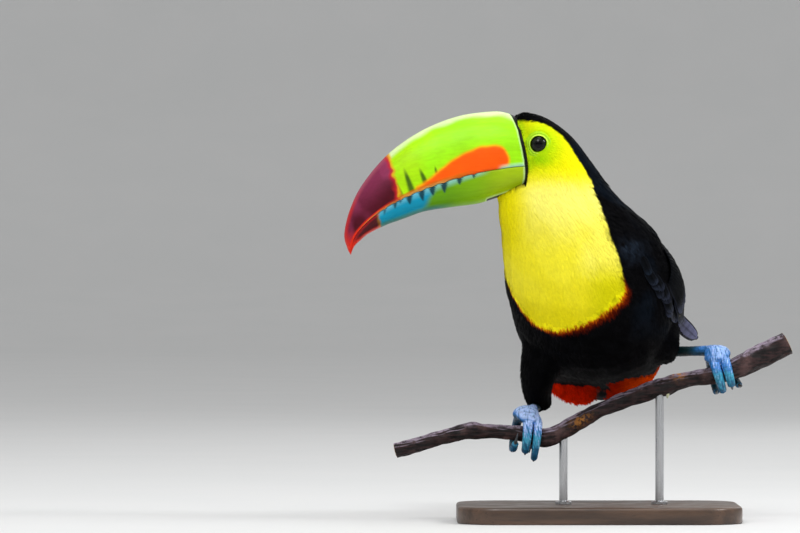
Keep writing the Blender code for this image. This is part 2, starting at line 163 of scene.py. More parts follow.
def painted(tint, *coats):
    """Colours with others laid over them in turn: each coat is a colour and its share."""
    for colour, share in coats:
        tint = blend(tint, colour, share)
    return tint


def bell(offset, reach):
    """1 at no offset, falling away over that reach."""
    return np.exp(-((offset / reach) ** 2))


def wobble(points, size, seed):
    """Smooth noise from about -1 to 1, with features of that size."""
    made = np.random.default_rng(seed)
    total = np.zeros(len(points))
    for _ in range(7):
        way = unit(made.normal(size=3)) * 2 * math.pi / (size * made.uniform(0.7, 2.2))
        total += np.sin(points @ way + made.uniform(0, 2 * math.pi))
    return total / 2.8


def outline_distance(x, z, line):
    """Distance in the plane from each point to a line of points, and the nearest place along it, 0 to 1."""
    p = np.stack([x, z], -1)
    line = np.array(line, float)
    best = np.full(len(p), FAR_OFF)
    place = np.zeros(len(p))
    for i, (a, b) in enumerate(zip(line, line[1:])):
        t = np.clip(((p - a) @ (b - a)) / ((b - a) @ (b - a)), 0, 1)
        d = norm(p - a - t[:, None] * (b - a), axis=1)
        place = np.where(d < best, (i + t) / (len(line) - 1), place)
        best = np.minimum(best, d)
    return best, place


def x_on(line, z):
    """Where a line of x, z points that runs downward is at each height."""
    x, height = np.array(line[::-1], float).T
    return np.interp(z, height, x)


def behind_bill(x, z):
    """Millimetres behind the line where the bill meets the face; it is negative in front."""
    far, _ = outline_distance(x, z, BILL_LINE)
    return np.where(x > x_on(BILL_LINE, z), far, -far)


def nearest_on(line, points):
    """The index of the line's point that is nearest to each point."""
    return norm(points[:, None] - line[None], axis=2).argmin(1)


def outward(points, faces):
    """The faces of a closed shape, turned over if they enclose a negative volume."""
    corners = np.asarray(points)[faces]
    volume = (np.cross(corners[:, 0] - corners[:, 2], corners[:, 1] - corners[:, 3]) * corners.mean(1)).sum()
    return faces if volume > 0 else faces[:, ::-1]


def grid_faces(rows, columns, wraps):
    """Quads between rows of points; the rows close on themselves if wraps."""
    r, c = np.meshgrid(np.arange(rows - 1), np.arange(columns if wraps else columns - 1), indexing="ij")
    here, following = r * columns + c, r * columns + (c + 1) % columns
    return np.stack([here, following, following + columns, here + columns], -1).reshape(-1, 4)


def linked(name, data):
    """A new object of the scene."""
    obj = bpy.data.objects.new(name, data)
    bpy.context.scene.collection.objects.link(obj)
    return obj


def read(rows, key, width=1, kind=float):
    """One property of all of a mesh's corners, points or triangles."""
    got = np.zeros(len(rows) * width, kind)
    rows.foreach_get(key, got)
    return got.reshape(-1, width) if width > 1 else got


def add_mesh(name, points, faces, look, tints=None, bake_uv=None, values=None, normals=None,
             upper=0):
    """A piece that rides on the bird's body. Points are in millimetres. The points' normals hold for the faces'
    first upper corners, and turned over for the rest."""
    mesh = bpy.data.meshes.new(name)
    mesh.from_pydata(np.asarray(points) * MM, [], faces if isinstance(faces, list) else faces.tolist())
    mesh.materials.append(look)
    mesh.shade_smooth()
    if tints is not None:
        rgba = np.ones((len(points), 4), np.float32)
        rgba[:, :3] = tints
        mesh.color_attributes.new(name="Tint", type="FLOAT_COLOR", domain="POINT").data.foreach_set(
            "color", rgba.ravel())
    for key, value in (values or {}).items():
        mesh.attributes.new(key, "FLOAT", "POINT").data.foreach_set("value", np.asarray(value, np.float32))
    corners = read(mesh.loops, "vertex_index", 1, np.int32)
    if bake_uv is not None:
        layer = mesh.uv_layers.new(name="OFBake")
        layer.uv.foreach_set("vector", np.asarray(bake_uv, np.float32)[corners].ravel())
    if normals is not None:
        turned = normals[corners]
        turned[upper:] *= -1
        mesh.normals_split_custom_set(turned.tolist())
    obj = linked(name, mesh)
    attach(obj, "root")
    return obj


def mesh_arrays(mesh):
    """A mesh's points and normals, in millimetres."""
    return read(mesh.vertices, "co", 3) / MM, read(mesh.vertex_normals, "vector", 3)


def tree_of(points, faces):
    return BVHTree.FromPolygons([Vector(p) for p in points], [list(f) for f in faces])


def faces_of(mesh):
    return [p.vertices[:] for p in mesh.polygons]


def melted(name, nodes, voxel, rounds, inward, keep=None, grow=OVERLAP, swell=None):
    """One closed mesh made of several solids, smoothed and drawn inward by so many millimetres. keep has planes
    behind which a node counts, and swell the centre and half sizes of an ellipsoid to add."""
    whole = bmesh.new()
    for node in nodes:
        part = bmesh.new()
        part.from_mesh(NODES[node].data)
        bmesh.ops.remove_doubles(part, verts=part.verts, dist=2e-6)
        if keep and node in keep:
            point, normal = keep[node]
            cut = bmesh.ops.bisect_plane(
                part, geom=part.verts[:] + part.edges[:] + part.faces[:], plane_co=Vector(point) * MM,
                plane_no=Vector(normal), clear_outer=True)
            edges = [e for e in cut["geom_cut"] if isinstance(e, bmesh.types.BMEdge)]
            bmesh.ops.holes_fill(part, edges=edges)
        bmesh.ops.recalc_face_normals(part, faces=part.faces)
        part.normal_update()
        for vert in part.verts:
            vert.co += vert.normal * grow * MM
        mesh = bpy.data.meshes.new(node + "_part")
        part.to_mesh(mesh)
        part.free()
        whole.from_mesh(mesh)
        bpy.data.meshes.remove(mesh)
    if swell:
        centre, halves = swell
        at = Matrix.Translation(Vector(centre) * MM) @ Matrix.Diagonal((*(Vector(halves) * MM), 1))
        bmesh.ops.create_icosphere(whole, subdivisions=4, radius=1, matrix=at)
    mesh = bpy.data.meshes.new(name + "_solids")
    whole.to_mesh(mesh)
    whole.free()
    obj = linked(name + "_solids", mesh)
    for kind, settings in (
            ("REMESH", {"mode": "VOXEL", "voxel_size": voxel * MM}),
            ("SMOOTH", {"factor": 0.5, "iterations": rounds}),
            ("DISPLACE", {"direction": "NORMAL", "mid_level": 0, "strength": -(inward + grow) * MM})):
        modifier = obj.modifiers.new(kind, kind)
        for key, value in settings.items():
            setattr(modifier, key, value)
    made = bpy.data.meshes.new_from_object(obj.evaluated_get(bpy.context.evaluated_depsgraph_get()))
    bpy.data.objects.remove(obj)
    made.name = name
    return made


# ---------------------------------------------------------------- materials

# These functions build nodes in the tree, and give back the socket whose value they are named after.
BILL_GRAIN, BRANCH_GRAIN = (0, 0.35, 0), (0, -0.3, 0)  # how the streaks on them are turned


def node(tree, kind, inputs=None, **settings):
    made = tree.nodes.new(kind)
    for key, value in settings.items():
        setattr(made, key, value)
    for key, value in (inputs or {}).items():
        if isinstance(value, bpy.types.NodeSocket):
            tree.links.new(value, made.inputs[key])
        else:
            made.inputs[key].default_value = value
    return made


def place(tree):
    return node(tree, "ShaderNodeTexCoord").outputs["Object"]


def noise(tree, scale, detail=3.0, roughness=0.55, at=None):
    inputs = {"Vector": at or place(tree), "Scale": scale, "Detail": detail, "Roughness": roughness}
    return node(tree, "ShaderNodeTexNoise", inputs).outputs["Fac"]


def streaks(tree, scale, detail, roughness, turn=(0, 0, 0)):
    """Noise whose places are scaled along each axis."""
    inputs = {"Vector": place(tree), "Scale": scale, "Rotation": turn}
    return noise(tree, 1.0, detail, roughness, node(tree, "ShaderNodeMapping", inputs).outputs[0])


def fit(tree, value, low, high, to_low=0.0, to_high=1.0):
    inputs = {"Value": value, "From Min": low, "From Max": high, "To Min": to_low, "To Max": to_high}
    return node(tree, "ShaderNodeMapRange", inputs, interpolation_type="SMOOTHSTEP").outputs["Result"]


def maths(tree, operation, a, b=0.0):
    return node(tree, "ShaderNodeMath", {0: a, 1: b}, operation=operation).outputs[0]


def mixed(tree, share, a, b, how="MIX"):
    colours = {6: a, 7: b}
    inputs = {i: c if isinstance(c, bpy.types.NodeSocket) else (*c, 1) for i, c in colours.items()}
    return node(tree, "ShaderNodeMix", {0: share, **inputs}, data_type="RGBA", blend_type=how).outputs[2]


def shaded(tree, colour, shade):
    """A colour times a brightness."""
    grey = node(tree, "ShaderNodeCombineColor", {0: shade, 1: shade, 2: shade}).outputs[0]
    return mixed(tree, 1.0, colour, grey, "MULTIPLY")


def attribute(tree, name, output="Fac"):
    return node(tree, "ShaderNodeAttribute", attribute_name=name).outputs[output]


def bump(tree, height, distance, strength=1.0, under=None):
    inputs = {"Height": height, "Distance": distance * MM, "Strength": strength}
    if under is not None:
        inputs["Normal"] = under
    return node(tree, "ShaderNodeBump", inputs).outputs["Normal"]


def principled(name, colour_of, roughness_of, normal_of=None, **constants):
    """A material from functions that build its colour, roughness and normal, and constant shader settings."""
    made = bpy.data.materials.new(name)
    made.use_nodes = True
    tree = made.node_tree
    shader = tree.nodes["Principled BSDF"]
    for key, build in (("Base Color", colour_of), ("Roughness", roughness_of), ("Normal", normal_of)):
        if build:
            tree.links.new(build(tree), shader.inputs[key])
    for key, value in constants.items():
        shader.inputs[key.replace("_", " ")].default_value = value
    return made


def rough(low, high, scale):
    return lambda tree: fit(tree, noise(tree, scale), 0.3, 0.7, low, high)


def tinted(low, high, scale):
    """The painted tint, made a little darker and lighter by noise."""
    return lambda tree: shaded(tree, attribute(tree, "Tint", "Color"), rough(low, high, scale)(tree))


def fine_bump(scale, distance, strength=1.0):
    return lambda tree: bump(tree, noise(tree, scale), distance, strength)


def barbs(tree):
    """Fine ridges that run from the shaft out and forward, on the vane's own coordinates."""
    side, along = attribute(tree, "side"), attribute(tree, "along")
    slope = maths(tree, "SUBTRACT", along, maths(tree, "MULTIPLY", maths(tree, "ABSOLUTE", side), 1.3))
    return maths(tree, "SINE", maths(tree, "MULTIPLY", slope, 17.0))


def vane_colour(tree):
    return shaded(tree, tinted(0.75, 1.25, 90)(tree), fit(tree, barbs(tree), -1, 1, 0.86, 1.12))


def horn_colour(tree):
    grain = streaks(tree, (60, 900, 420), 4, 0.6, BILL_GRAIN)
    return shaded(tree, tinted(0.92, 1.05, 45)(tree), fit(tree, grain, 0.3, 0.7, 0.93, 1.05))


def horn_bump(tree):
    ripples = streaks(tree, (90, 700, 380), 4, 0.6, BILL_GRAIN)
    return bump(tree, noise(tree, 900, 2), 0.02, 0.3, bump(tree, ripples, 0.06, 0.5))


def scute_bump(tree):
    inputs = {"Vector": place(tree), "Scale": 900.0}
    cells = node(tree, "ShaderNodeTexVoronoi", inputs, feature="DISTANCE_TO_EDGE").outputs["Distance"]
    return bump(tree, noise(tree, 1500, 3), 0.06, 0.5, bump(tree, fit(tree, cells, 0.0, 0.12), 0.1, 0.6))


def bark_colour(tree):
    fibres = streaks(tree, (70, 520, 520), 6, 0.65, BRANCH_GRAIN)
    patches = noise(tree, 55, 4, 0.6)
    brown = mixed(tree, fit(tree, fibres, 0.38, 0.64), (0.004, 0.003, 0.0033), (0.035, 0.016, 0.016))
    brown = mixed(tree, fit(tree, patches, 0.52, 0.7, 0, 0.6), brown, (0.11, 0.058, 0.055))
    # painted highlight: paler grey on the bark's upward faces, broken up by noise
    facing = node(tree, "ShaderNodeNewGeometry").outputs["Normal"]
    up = fit(tree, node(tree, "ShaderNodeSeparateXYZ", {0: facing}).outputs[2], 0.35, 0.9)
    top_highlight = maths(tree, "MULTIPLY", up, fit(tree, noise(tree, 240, 5, 0.7), 0.34, 0.56))
    highlighted_bark = mixed(tree, top_highlight, brown, (0.3, 0.24, 0.31))
    crust = fit(tree, noise(tree, 420, 4), 0.42, 0.56)
    lichen = maths(tree, "MULTIPLY", attribute(tree, "lichen"), crust)
    cracks = maths(tree, "MULTIPLY", attribute(tree, "crack"), 0.85)
    return mixed(tree, cracks, mixed(tree, lichen, highlighted_bark, (0.42, 0.16, 0.02)), (0.006, 0.004, 0.004))


def bark_bump(tree):
    fibres = streaks(tree, (60, 600, 600), 6, 0.7, BRANCH_GRAIN)
    return bump(tree, noise(tree, 1100, 4, 0.7), 0.12, 0.8, bump(tree, fibres, 0.6, 0.9))


def cut_colour(tree):
    rings = maths(tree, "SINE", maths(tree, "MULTIPLY", attribute(tree, "ring"), 42.0))
    wood = mixed(tree, fit(tree, rings, -1, 1), (0.33, 0.2, 0.1), (0.52, 0.37, 0.21))
    return mixed(tree, fit(tree, noise(tree, 700, 4), 0.4, 0.7, 0, 0.5), wood, (0.22, 0.12, 0.06))


def pores(tree):
    return streaks(tree, (60, 1500, 700), 3, 0.7)


def plank_colour(tree):
    grain = fit(tree, streaks(tree, (7, 90, 60), 5, 0.6), 0.3, 0.7)
    tone = mixed(tree, grain, (0.03, 0.016, 0.01), (0.11, 0.06, 0.035))
    return mixed(tree, fit(tree, pores(tree), 0.55, 0.72, 0, 0.7), tone, (0.012, 0.007, 0.005))


def drawn(tree):
    """The fine lines of a drawn rod."""
    return streaks(tree, (900, 900, 25), 3, 0.6)


LOOKS = {
    "yellow": principled(
        "yellow_plumage", tinted(0.96, 1.03, 420), rough(0.52, 0.66, 400), fine_bump(2600, 0.03),
        Specular_IOR_Level=0.015, Sheen_Weight=0.03, Sheen_Roughness=0.4),
    "black": principled(
        "black_plumage", tinted(0.7, 1.3, 120), rough(0.44, 0.58, 150), fine_bump(2200, 0.04),
        Specular_IOR_Level=0.008),
    "soft": principled(
        "soft_plumage", tinted(0.8, 1.12, 300), rough(0.6, 0.78, 300), fine_bump(2400, 0.05),
        Specular_IOR_Level=0.0),
    "vane": principled(
        "flight_feather", vane_colour, rough(0.42, 0.56, 120),
        lambda tree: bump(tree, barbs(tree), 0.02, 0.5), Specular_IOR_Level=0.012),
    "bill": principled(
        "bill_horn", horn_colour, rough(0.38, 0.5, 110), horn_bump, Specular_IOR_Level=0.12,
        Coat_Weight=0.05, Coat_Roughness=0.18, Subsurface_Weight=0.03, Subsurface_Scale=0.002),
    "eye": principled(
        "eye", tinted(0.6, 1.5, 900), rough(0.03, 0.07, 500), fine_bump(150, 0.01, 0.2),
        Specular_IOR_Level=0.03, Coat_Weight=0.4, Coat_Roughness=0.02, Coat_IOR=1.4),
    "lid": principled(
        "eye_skin", tinted(0.85, 1.1, 700), rough(0.38, 0.55, 500),
        lambda tree: bump(tree, noise(tree, 1400, 4), 0.08, 0.6),
        Specular_IOR_Level=0.15, Subsurface_Weight=0.05, Subsurface_Scale=0.001),
    "skin": principled(
        "plumage_skin", tinted(0.92, 1.04, 500), rough(0.6, 0.8, 300), fine_bump(1200, 0.08),
        Specular_IOR_Level=0.015),
    "leg": principled(
        "foot_skin", tinted(0.8, 1.14, 420), rough(0.36, 0.56, 350), scute_bump,
        Specular_IOR_Level=0.45, Subsurface_Weight=0.06, Subsurface_Scale=0.001),
    "claw": principled(
        "claw_horn", tinted(0.75, 1.3, 500), rough(0.22, 0.4, 400), fine_bump(700, 0.08, 0.6),
        Specular_IOR_Level=0.5),
    "bark": principled("bark", bark_colour, rough(0.5, 0.8, 260), bark_bump, Specular_IOR_Level=0.25),
    "cut": principled(
        "cut_wood", cut_colour, rough(0.65, 0.85, 500), fine_bump(1500, 0.15), Specular_IOR_Level=0.2),
    "wood": principled(
        "stand_wood", plank_colour, rough(0.32, 0.5, 60), lambda tree: bump(tree, pores(tree), 0.06, 0.6),
        Specular_IOR_Level=0.5, Coat_Weight=0.2, Coat_Roughness=0.25),
    "steel": principled(
        "rod_steel", lambda tree: mixed(tree, drawn(tree), (0.42, 0.43, 0.45), (0.6, 0.6, 0.61)),
        lambda tree: fit(tree, drawn(tree), 0.3, 0.7, 0.22, 0.4),
        lambda tree: bump(tree, streaks(tree, (1600, 1600, 30), 2, 0.5), 0.02, 0.5), Metallic=1.0),
}

YELLOW = (0.93, 0.83, 0.035)
FACE_YELLOW = (0.93, 0.84, 0.003)
# the upper throat's paler yellow, and painted sheen at the bib's right edge
PALE_YELLOW = (0.97, 0.9, 0.16)
# a deeper yellow: the plumage's own colour in places, and painted shade low on the bib
DEEP_YELLOW = (0.84, 0.73, 0.003)
# a darker yellow, painted shade on the bib's lower right
LOW_SHADE_YELLOW = (0.68, 0.63, 0.004)
LIME = (0.4, 0.7, 0.004)
# a darker green, painted shade under the eye
SHADED_MOSS = (0.27, 0.6, 0.002)
BLACK = (0.0025, 0.0025, 0.003)
# black with a painted bluish sheen
BLUE_SHEEN_BLACK = (0.004, 0.0065, 0.011)
# a bluish grey for painted sheen on black feathers
SLATE_SHEEN = (0.014, 0.021, 0.034)
MAROON_BLACK = (0.012, 0.005, 0.005)
LINE_BLACK = (0.003, 0.003, 0.003)
BAND_RED = (0.11, 0.008, 0.001)
BAND_ORANGE = (0.55, 0.09, 0.003)
COVERT_RED = (0.8, 0.02, 0.0005)
COVERT_ORANGE = (0.62, 0.05, 0.001)
# a darker red, painted shade on the undertail feathers
COVERT_SHADE_RED = (0.28, 0.012, 0.0005)
RUMP_WHITE = (0.78, 0.75, 0.62)


# ---------------------------------------------------------------- the plumage's markings

SPINE_POINTS = through(SPINE, 90)
SPINE_WAYS = unit(np.gradient(SPINE_POINTS, axis=0))
BLOCK = 4000  # points handled at once, to spare memory


def spine_near(points):
    """The index of the spine point nearest in height and depth to each point."""
    blocks = range(0, len(points), BLOCK)
    return np.concatenate([nearest_on(SPINE_POINTS, points[start : start + BLOCK]) for start in blocks])


def bib_distance(points):
    """How far inside the yellow each point lies, in about millimetres; it is negative outside."""
    x, y, z = points.T
    levels = SPINE_POINTS[20:]
    middle_x, middle_y = (np.interp(z, levels[:, 2], levels[:, axis]) for axis in (0, 1))
    facing = np.degrees(np.arctan2(middle_x - x, middle_y - y))
    midline = blend(BIB_LOW_TURN, BIB_HIGH_TURN, smooth(BIB_TURN_FROM, BIB_TURN_TO, z))
    off = (facing - midline + 180) % 360 - 180
    far, _ = outline_distance(np.abs(off) * DEGREE, z, [(w * DEGREE, h) for h, w in BIB])
    half = np.interp(z, *np.transpose(BIB))
    inside = (np.abs(off) < half) & (z > BIB[0][0])
    low = np.where(inside, far, -far)
    edge, _ = outline_distance(x, z, CAP_EDGE)
    high = np.where(z < np.interp(x, *np.transpose(CAP_EDGE)), edge, -edge)
    return blend(low, high, smooth(232, 242, z))


# Where the red under the tail begins: places along X, and its Y at each.
RED_STARTS = ((-40, -29, -22, -15.5, -6.6, 2, 9, 19, 30, 39, 46), (58, 50, 39, 31, 25, 22, 12, 8, 12, 26, 34))


def underside_red(points, normals):
    """How strongly each point belongs to the red feathers under the tail."""
    x, y, z = points.T
    start = np.interp(x, *RED_STARTS)
    red = smooth(0, 4, y - start + 2.5 * wobble(points, 9, 3)) * smooth(-0.12, -0.4, normals[:, 2])
    red = red * smooth(126, 116, z)
    parting = np.abs(x - 4.5 + 0.04 * (y - 30)) + 0.8 * wobble(points, 6, 6)
    return red * (1 - smooth(5.2, 3.2, parting) * smooth(75, 60, y))


def rump_white(points, normals):
    """How strongly each point belongs to the white feathers over the tail."""
    return smooth(50, 60, points[:, 1] + 2 * wobble(points, 8, 4)) * smooth(0.3, 0.6, normals[:, 2])


def markings(points, normals, body=1.0):
    """The colour of the plumage at each point, with painted shade and sheen in places, and how far inside the
    yellow it is. body is 0 on the wings.
    """
    x, y, z = points.T
    inside = bib_distance(points) + 0.35 * wobble(points, 5, 1)
    out = np.abs(y - HEAD_Y) - EYE_OUT
    to_eye = np.sqrt((x - EYE_X) ** 2 + (z - EYE_Z) ** 2 + np.minimum(out, 0) ** 2)
    behind = behind_bill(x, z)
    pale = smooth(185, 222, z) * smooth(243, 230, z) * smooth(-62, -44, x)
    # a pale patch at the bib's right edge, as painted sheen
    pale = np.maximum(pale, 0.75 * smooth(-22, -2, x) * smooth(165, 185, z) * smooth(232, 215, z))
    yellow = painted(
        YELLOW,
        (PALE_YELLOW, pale),
        (FACE_YELLOW, smooth(236, 250, z)),
        (DEEP_YELLOW, smooth(-48, -66, x) * smooth(180, 200, z)),
        # painted shade: the bib darker towards its bottom
        (DEEP_YELLOW, smooth(175, 140, z) * 0.8),
        (DEEP_YELLOW, 0.3 * smooth(0.1, 0.9, wobble(points, 26, 7))),
        # painted shade: the bib's lower right darkened
        (LOW_SHADE_YELLOW, smooth(-18, 4, x) * smooth(190, 162, z)))
    near_bill = bell(np.maximum(behind, 0), 7.0) * smooth(240, 252, z)
    green = np.maximum(bell(to_eye, 15.5), 0.85 * near_bill)
    yellow = blend(yellow, LIME, np.clip(green * 1.1, 0, 1))
    # painted shade: a darker green under the eye, below the brow
    under_eye = np.exp(-(((x - EYE_X) / 9) ** 2) - (((z - EYE_Z + 11.5) / 4) ** 2))
    yellow = blend(yellow, SHADED_MOSS, 0.75 * under_eye)
    # painted sheen: bluish patches on the black
    black = blend(BLACK, BLUE_SHEEN_BLACK, smooth(-0.2, 0.8, wobble(points, 30, 5)) * smooth(125, 150, z))
    # painted sheen: a bluish grey patch over the scapulars
    scapular = np.exp(-(((x - 21) / 9) ** 2) - (((z - 191) / 7) ** 2)) * (y < 10)
    black = blend(black, SLATE_SHEEN, scapular * (0.6 + 0.4 * wobble(points, 4, 51)))
    nape = smooth(HEAD_Y - 5, HEAD_Y + 20, y) * smooth(185, 215, z)
    black = blend(black, MAROON_BLACK, 0.6 * nape)
    # painted shade: the red turns darker from x = -10 to 0 and stays darker further back
    covert = blend(COVERT_RED, COVERT_SHADE_RED, 0.85 * smooth(-10, 0, x))
    covert = blend(covert, COVERT_ORANGE, smooth(12, 30, x))
    black = blend(black, covert, underside_red(points, normals) * body)
    black = blend(black, RUMP_WHITE, rump_white(points, normals) * body)
    low = smooth(176, 158, z)
    lean = smooth(60, 10, np.degrees(np.arctan2(-15 - x, -20 - y)))
    reach = -1.2 - 4.4 * low * (0.1 + 0.9 * lean)
    band = smooth(reach, reach * 0.35, inside + 0.4 * wobble(points, 7, 8)) * low
    black = blend(black, blend(BAND_RED, BAND_ORANGE, smooth(-2.4, -0.2, inside)), band)
    coat = blend(black, yellow, smooth(-0.5, 0.5, inside))
    on_skin_line = np.where(z < CHIN_TOP + 1, 0.5, 1.1 - 0.6 * smooth(272, 279, z))
    line = smooth(0.2, -0.2, behind - on_skin_line) * smooth(LINE_END, LINE_END + 1.2, z) * (x < FACE_X)
    return blend(coat, LINE_BLACK, line), inside


# ---------------------------------------------------------------- the skin

FLESH = ("head", "neck", "trunk", "thigh_left", "thigh_right", "wing_left", "wing_right")
# Only what lies behind these planes fills the skull.
UPPER_ROOT = ((-67, 0, 0), (-1, 0, 0))
LOWER_ROOT = ((-83, 0, 0), (-1, 0, 0))
TAIL_STUMP = ((0, 112, 0), (0, 1, 0))
# Where the bill covers it, the skin is drawn in by these shares towards the bill's middle, and by more at the
# chin.
BILL_MIDDLE = (-62, HEAD_Y, 257)
BILL_ROOT_DRAWN_IN, CHIN_DRAWN_IN = np.array([0, 0.2, 0.14]), np.array([0, 0.14, 0.11])
SKIN_MESH = melted(
    "skin", (*FLESH, "bill_upper", "bill_lower", "tail", "eye_left", "eye_right"), 1.5, 7, COAT_DEPTH,
    keep={"bill_upper": UPPER_ROOT, "bill_lower": LOWER_ROOT, "tail": TAIL_STUMP})
SKIN_POINTS, SKIN_NORMALS = mesh_arrays(SKIN_MESH)
UNDER_BILL = smooth(0.7, -1.0, behind_bill(SKIN_POINTS[:, 0], SKIN_POINTS[:, 2])) * (SKIN_POINTS[:, 0] < FACE_X)
DRAWN_IN = BILL_ROOT_DRAWN_IN + CHIN_DRAWN_IN * smooth(246, 238, SKIN_POINTS[:, 2:])
SKIN_POINTS += (BILL_MIDDLE - SKIN_POINTS) * DRAWN_IN * UNDER_BILL[:, None]
SKIN_MESH.calc_loop_triangles()
SKIN_TRIS = read(SKIN_MESH.loop_triangles, "vertices", 3, np.int32)
SKIN_TREE = tree_of(SKIN_POINTS, SKIN_TRIS)
TRI_NORMALS = unit(SKIN_NORMALS[SKIN_TRIS].mean(1))
TRI_CENTRES = SKIN_POINTS[SKIN_TRIS].mean(1)


def on_skin(points):
    """The nearest place on the skin to each point, its normal and its triangle."""
    places, tris = np.zeros((len(points), 3)), np.zeros(len(points), int)
    for i, p in enumerate(points.tolist()):
        found = SKIN_TREE.find_nearest(p)
        places[i], tris[i] = found[0], found[2]
    return places, TRI_NORMALS[tris], tris


def mirrored(points):
    """Points on the other side of the trunk's midplane."""
    turn = math.radians(TRUNK_YAW)
    side = np.array([math.cos(turn), -math.sin(turn), 0])
    return points - 2 * ((points - np.array(BETWEEN_WINGS)) @ side)[..., None] * side


WING_MIDDLES = [through([s[3:6] for s in WING_LEFT], 60)]
WING_MIDDLES.append(mirrored(WING_MIDDLES[0]))


def regions_of(points):
    """0 for the body, 1 and 2 for the left and right wing, 3 and 4 for the thighs."""
    nearest = np.full(len(points), FAR_OFF)
    region = np.zeros(len(points), int)
    for code, name in ((0, "trunk"), (0, "neck"), (0, "head"), (1, "wing_left"), (2, "wing_right"),
                       (3, "thigh_left"), (4, "thigh_right")):
        solid = NODES[name].data
        tree = tree_of(mesh_arrays(solid)[0], faces_of(solid))
        far = np.array([tree.find_nearest(p)[3] for p in points.tolist()])
        region = np.where(far < nearest, code, region)
        nearest = np.minimum(nearest, far)
    return region


FACE_START = np.array([-64, HEAD_Y, 253])  # the feathers of the throat point away from here
HEAD_TURN = (-48, 240)  # the feathers of the head run back and down round this place: x, z
THIGH_WAYS = {3: (17, 26, -20), 4: (-6, 22, -50)}


def lie_of_coat(points, normals, region):
    """The way the feathers point at each place on the skin."""
    away = unit(points - FACE_START)
    down = -SPINE_WAYS[spine_near(points)]
    x, _, z = points.T
    back = unit(np.stack([z - HEAD_TURN[1], x * 0, HEAD_TURN[0] - x], 1))
    from_eye = unit(np.stack([x - EYE_X, x * 0, z - EYE_Z], 1))
    to_eye = np.hypot(x - EYE_X, z - EYE_Z)
    body = away + (back - away) * smooth(238, 250, z)[:, None]
    body = body + (1.3 * smooth(15, 9.5, to_eye))[:, None] * from_eye
    body = body + blend(0.15, 1.6, smooth(256, 236, z))[:, None] * down
    left, right = WING_MIDDLES
    ways = unit(np.gradient(left, axis=0))
    for code, line, way in ((1, left, ways), (2, right, mirrored(left + ways) - right)):
        of_wing = region == code
        body[of_wing] = way[nearest_on(line, points[of_wing])]
    for code, way in THIGH_WAYS.items():
        body[region == code] = way
    return across(unit(body), normals)


SKIN_REGIONS = regions_of(TRI_CENTRES)
IS_WING = (SKIN_REGIONS == 1) | (SKIN_REGIONS == 2)
SKIN_LIE = lie_of_coat(TRI_CENTRES, TRI_NORMALS, SKIN_REGIONS)


def unwrap_skin():
    """An unwrap of the skin's own shape: the place on it of each triangle's corners."""
    obj = linked("unwrapping", SKIN_MESH.copy())
    bpy.context.view_layer.objects.active = obj
    obj.select_set(True)
    bpy.ops.object.mode_set(mode="EDIT")
    bpy.ops.mesh.select_all(action="SELECT")
    bpy.ops.uv.smart_project(angle_limit=math.radians(66), island_margin=0.002)
    bpy.ops.object.mode_set(mode="OBJECT")
    mesh = obj.data
    mesh.calc_loop_triangles()
    uv = read(mesh.uv_layers.active.uv, "vector", 2, np.float32)
    made = uv[read(mesh.loop_triangles, "loops", 3, np.int32)].mean(1)
    bpy.data.objects.remove(obj)
    return made


TRI_UV = unwrap_skin()


# ---------------------------------------------------------------- the small feathers

PATCH = 0.003  # how wide a tuft is on the bake's map
# For each kind of feather: spacing, length, half width, strands, and how high its tip stands over the skin.
KINDS = {
    "face": (0.9, 3.8, 0.75, 5, 0.42),
    "cap": (1.05, 4.2, 0.8, 5, 0.9),
    "throat": (1.1, 6.0, 1.0, 6, 0.5),
    "bib": (1.35, 9.0, 1.3, 7, 0.58),
    "body": (2.0, 11.0, 2.0, 7, 1.5),
    "thigh": (1.8, 6.5, 1.4, 7, 1.6),
    "red": (1.9, 10.0, 1.5, 7, 2.2),
    "rump": (1.9, 10.0, 1.8, 7, 2.0),
    "wing": (2.3, 8.0, 2.3, 7, 1.4),
}
SHOWN_AT = 0.72  # a feather has the markings' colour at this share of its length
KIND_LOOKS = {"face": "yellow", "throat": "yellow", "bib": "yellow", "red": "soft", "rump": "soft"}
SILKY = ("face", "throat", "bib")
THROAT_LOW, THROAT_HIGH = 228, 248
BORDER = 14  # nearer to the yellow's edge than this, a feather is coloured along its length
AT_BORDER = 0.5  # how long the feathers are at that edge, as a share of their length elsewhere
FOREHEAD_RISE = 1.7  # how much the cap's feathers stand up over the bill's root
WING_TUFTS = 0.26  # the share of a wing's length that small feathers cover
STEPS = 3  # along a strand
PROFILE = (0.12, 0.75, 1.0, 0.95)  # a tuft's width at each step
THICKNESS = (0.55, 1.0, 0.8, 0.0)  # a strand's
# The faces of a strand's upper side, of 11 corners in all, and of its underside, which fans out from point 7.
UPPER_FACES, UPPER_CORNERS = ((1, 0, 2, 3), (3, 2, 4, 5), (5, 4, 6)), 11
UNDER_FACES = ((0, 1, 7), (2, 0, 7), (4, 2, 7), (6, 4, 7), (5, 6, 7), (3, 5, 7), (1, 3, 7))
STRAND_POINTS, STRAND_TRIANGLES = 8, 12
MOST_TRIANGLES = 180000  # in a piece of the coat
TRIED = 3.2  # places tried for a feather on each square millimetre


def kinds_of(points, normals, region, inside):
    """The kind of the feather that is at each point, in that region and that far inside the yellow."""
    z = points[:, 2]
    yellow = np.where(z > THROAT_HIGH, "face", np.where(z > THROAT_LOW, "throat", "bib"))
    kind = np.where(inside > 0, yellow, np.where(z > HEAD_BASE + 4, "cap", "body"))
    kind = np.where((underside_red(points, normals) > 0.5) & (inside < -3), "red", kind)
    kind = np.where((rump_white(points, normals) > 0.5) & (region == 0), "rump", kind)
    kind = np.where((region == 1) | (region == 2), "wing", kind)
    return np.where(region >= 3, "thigh", kind)


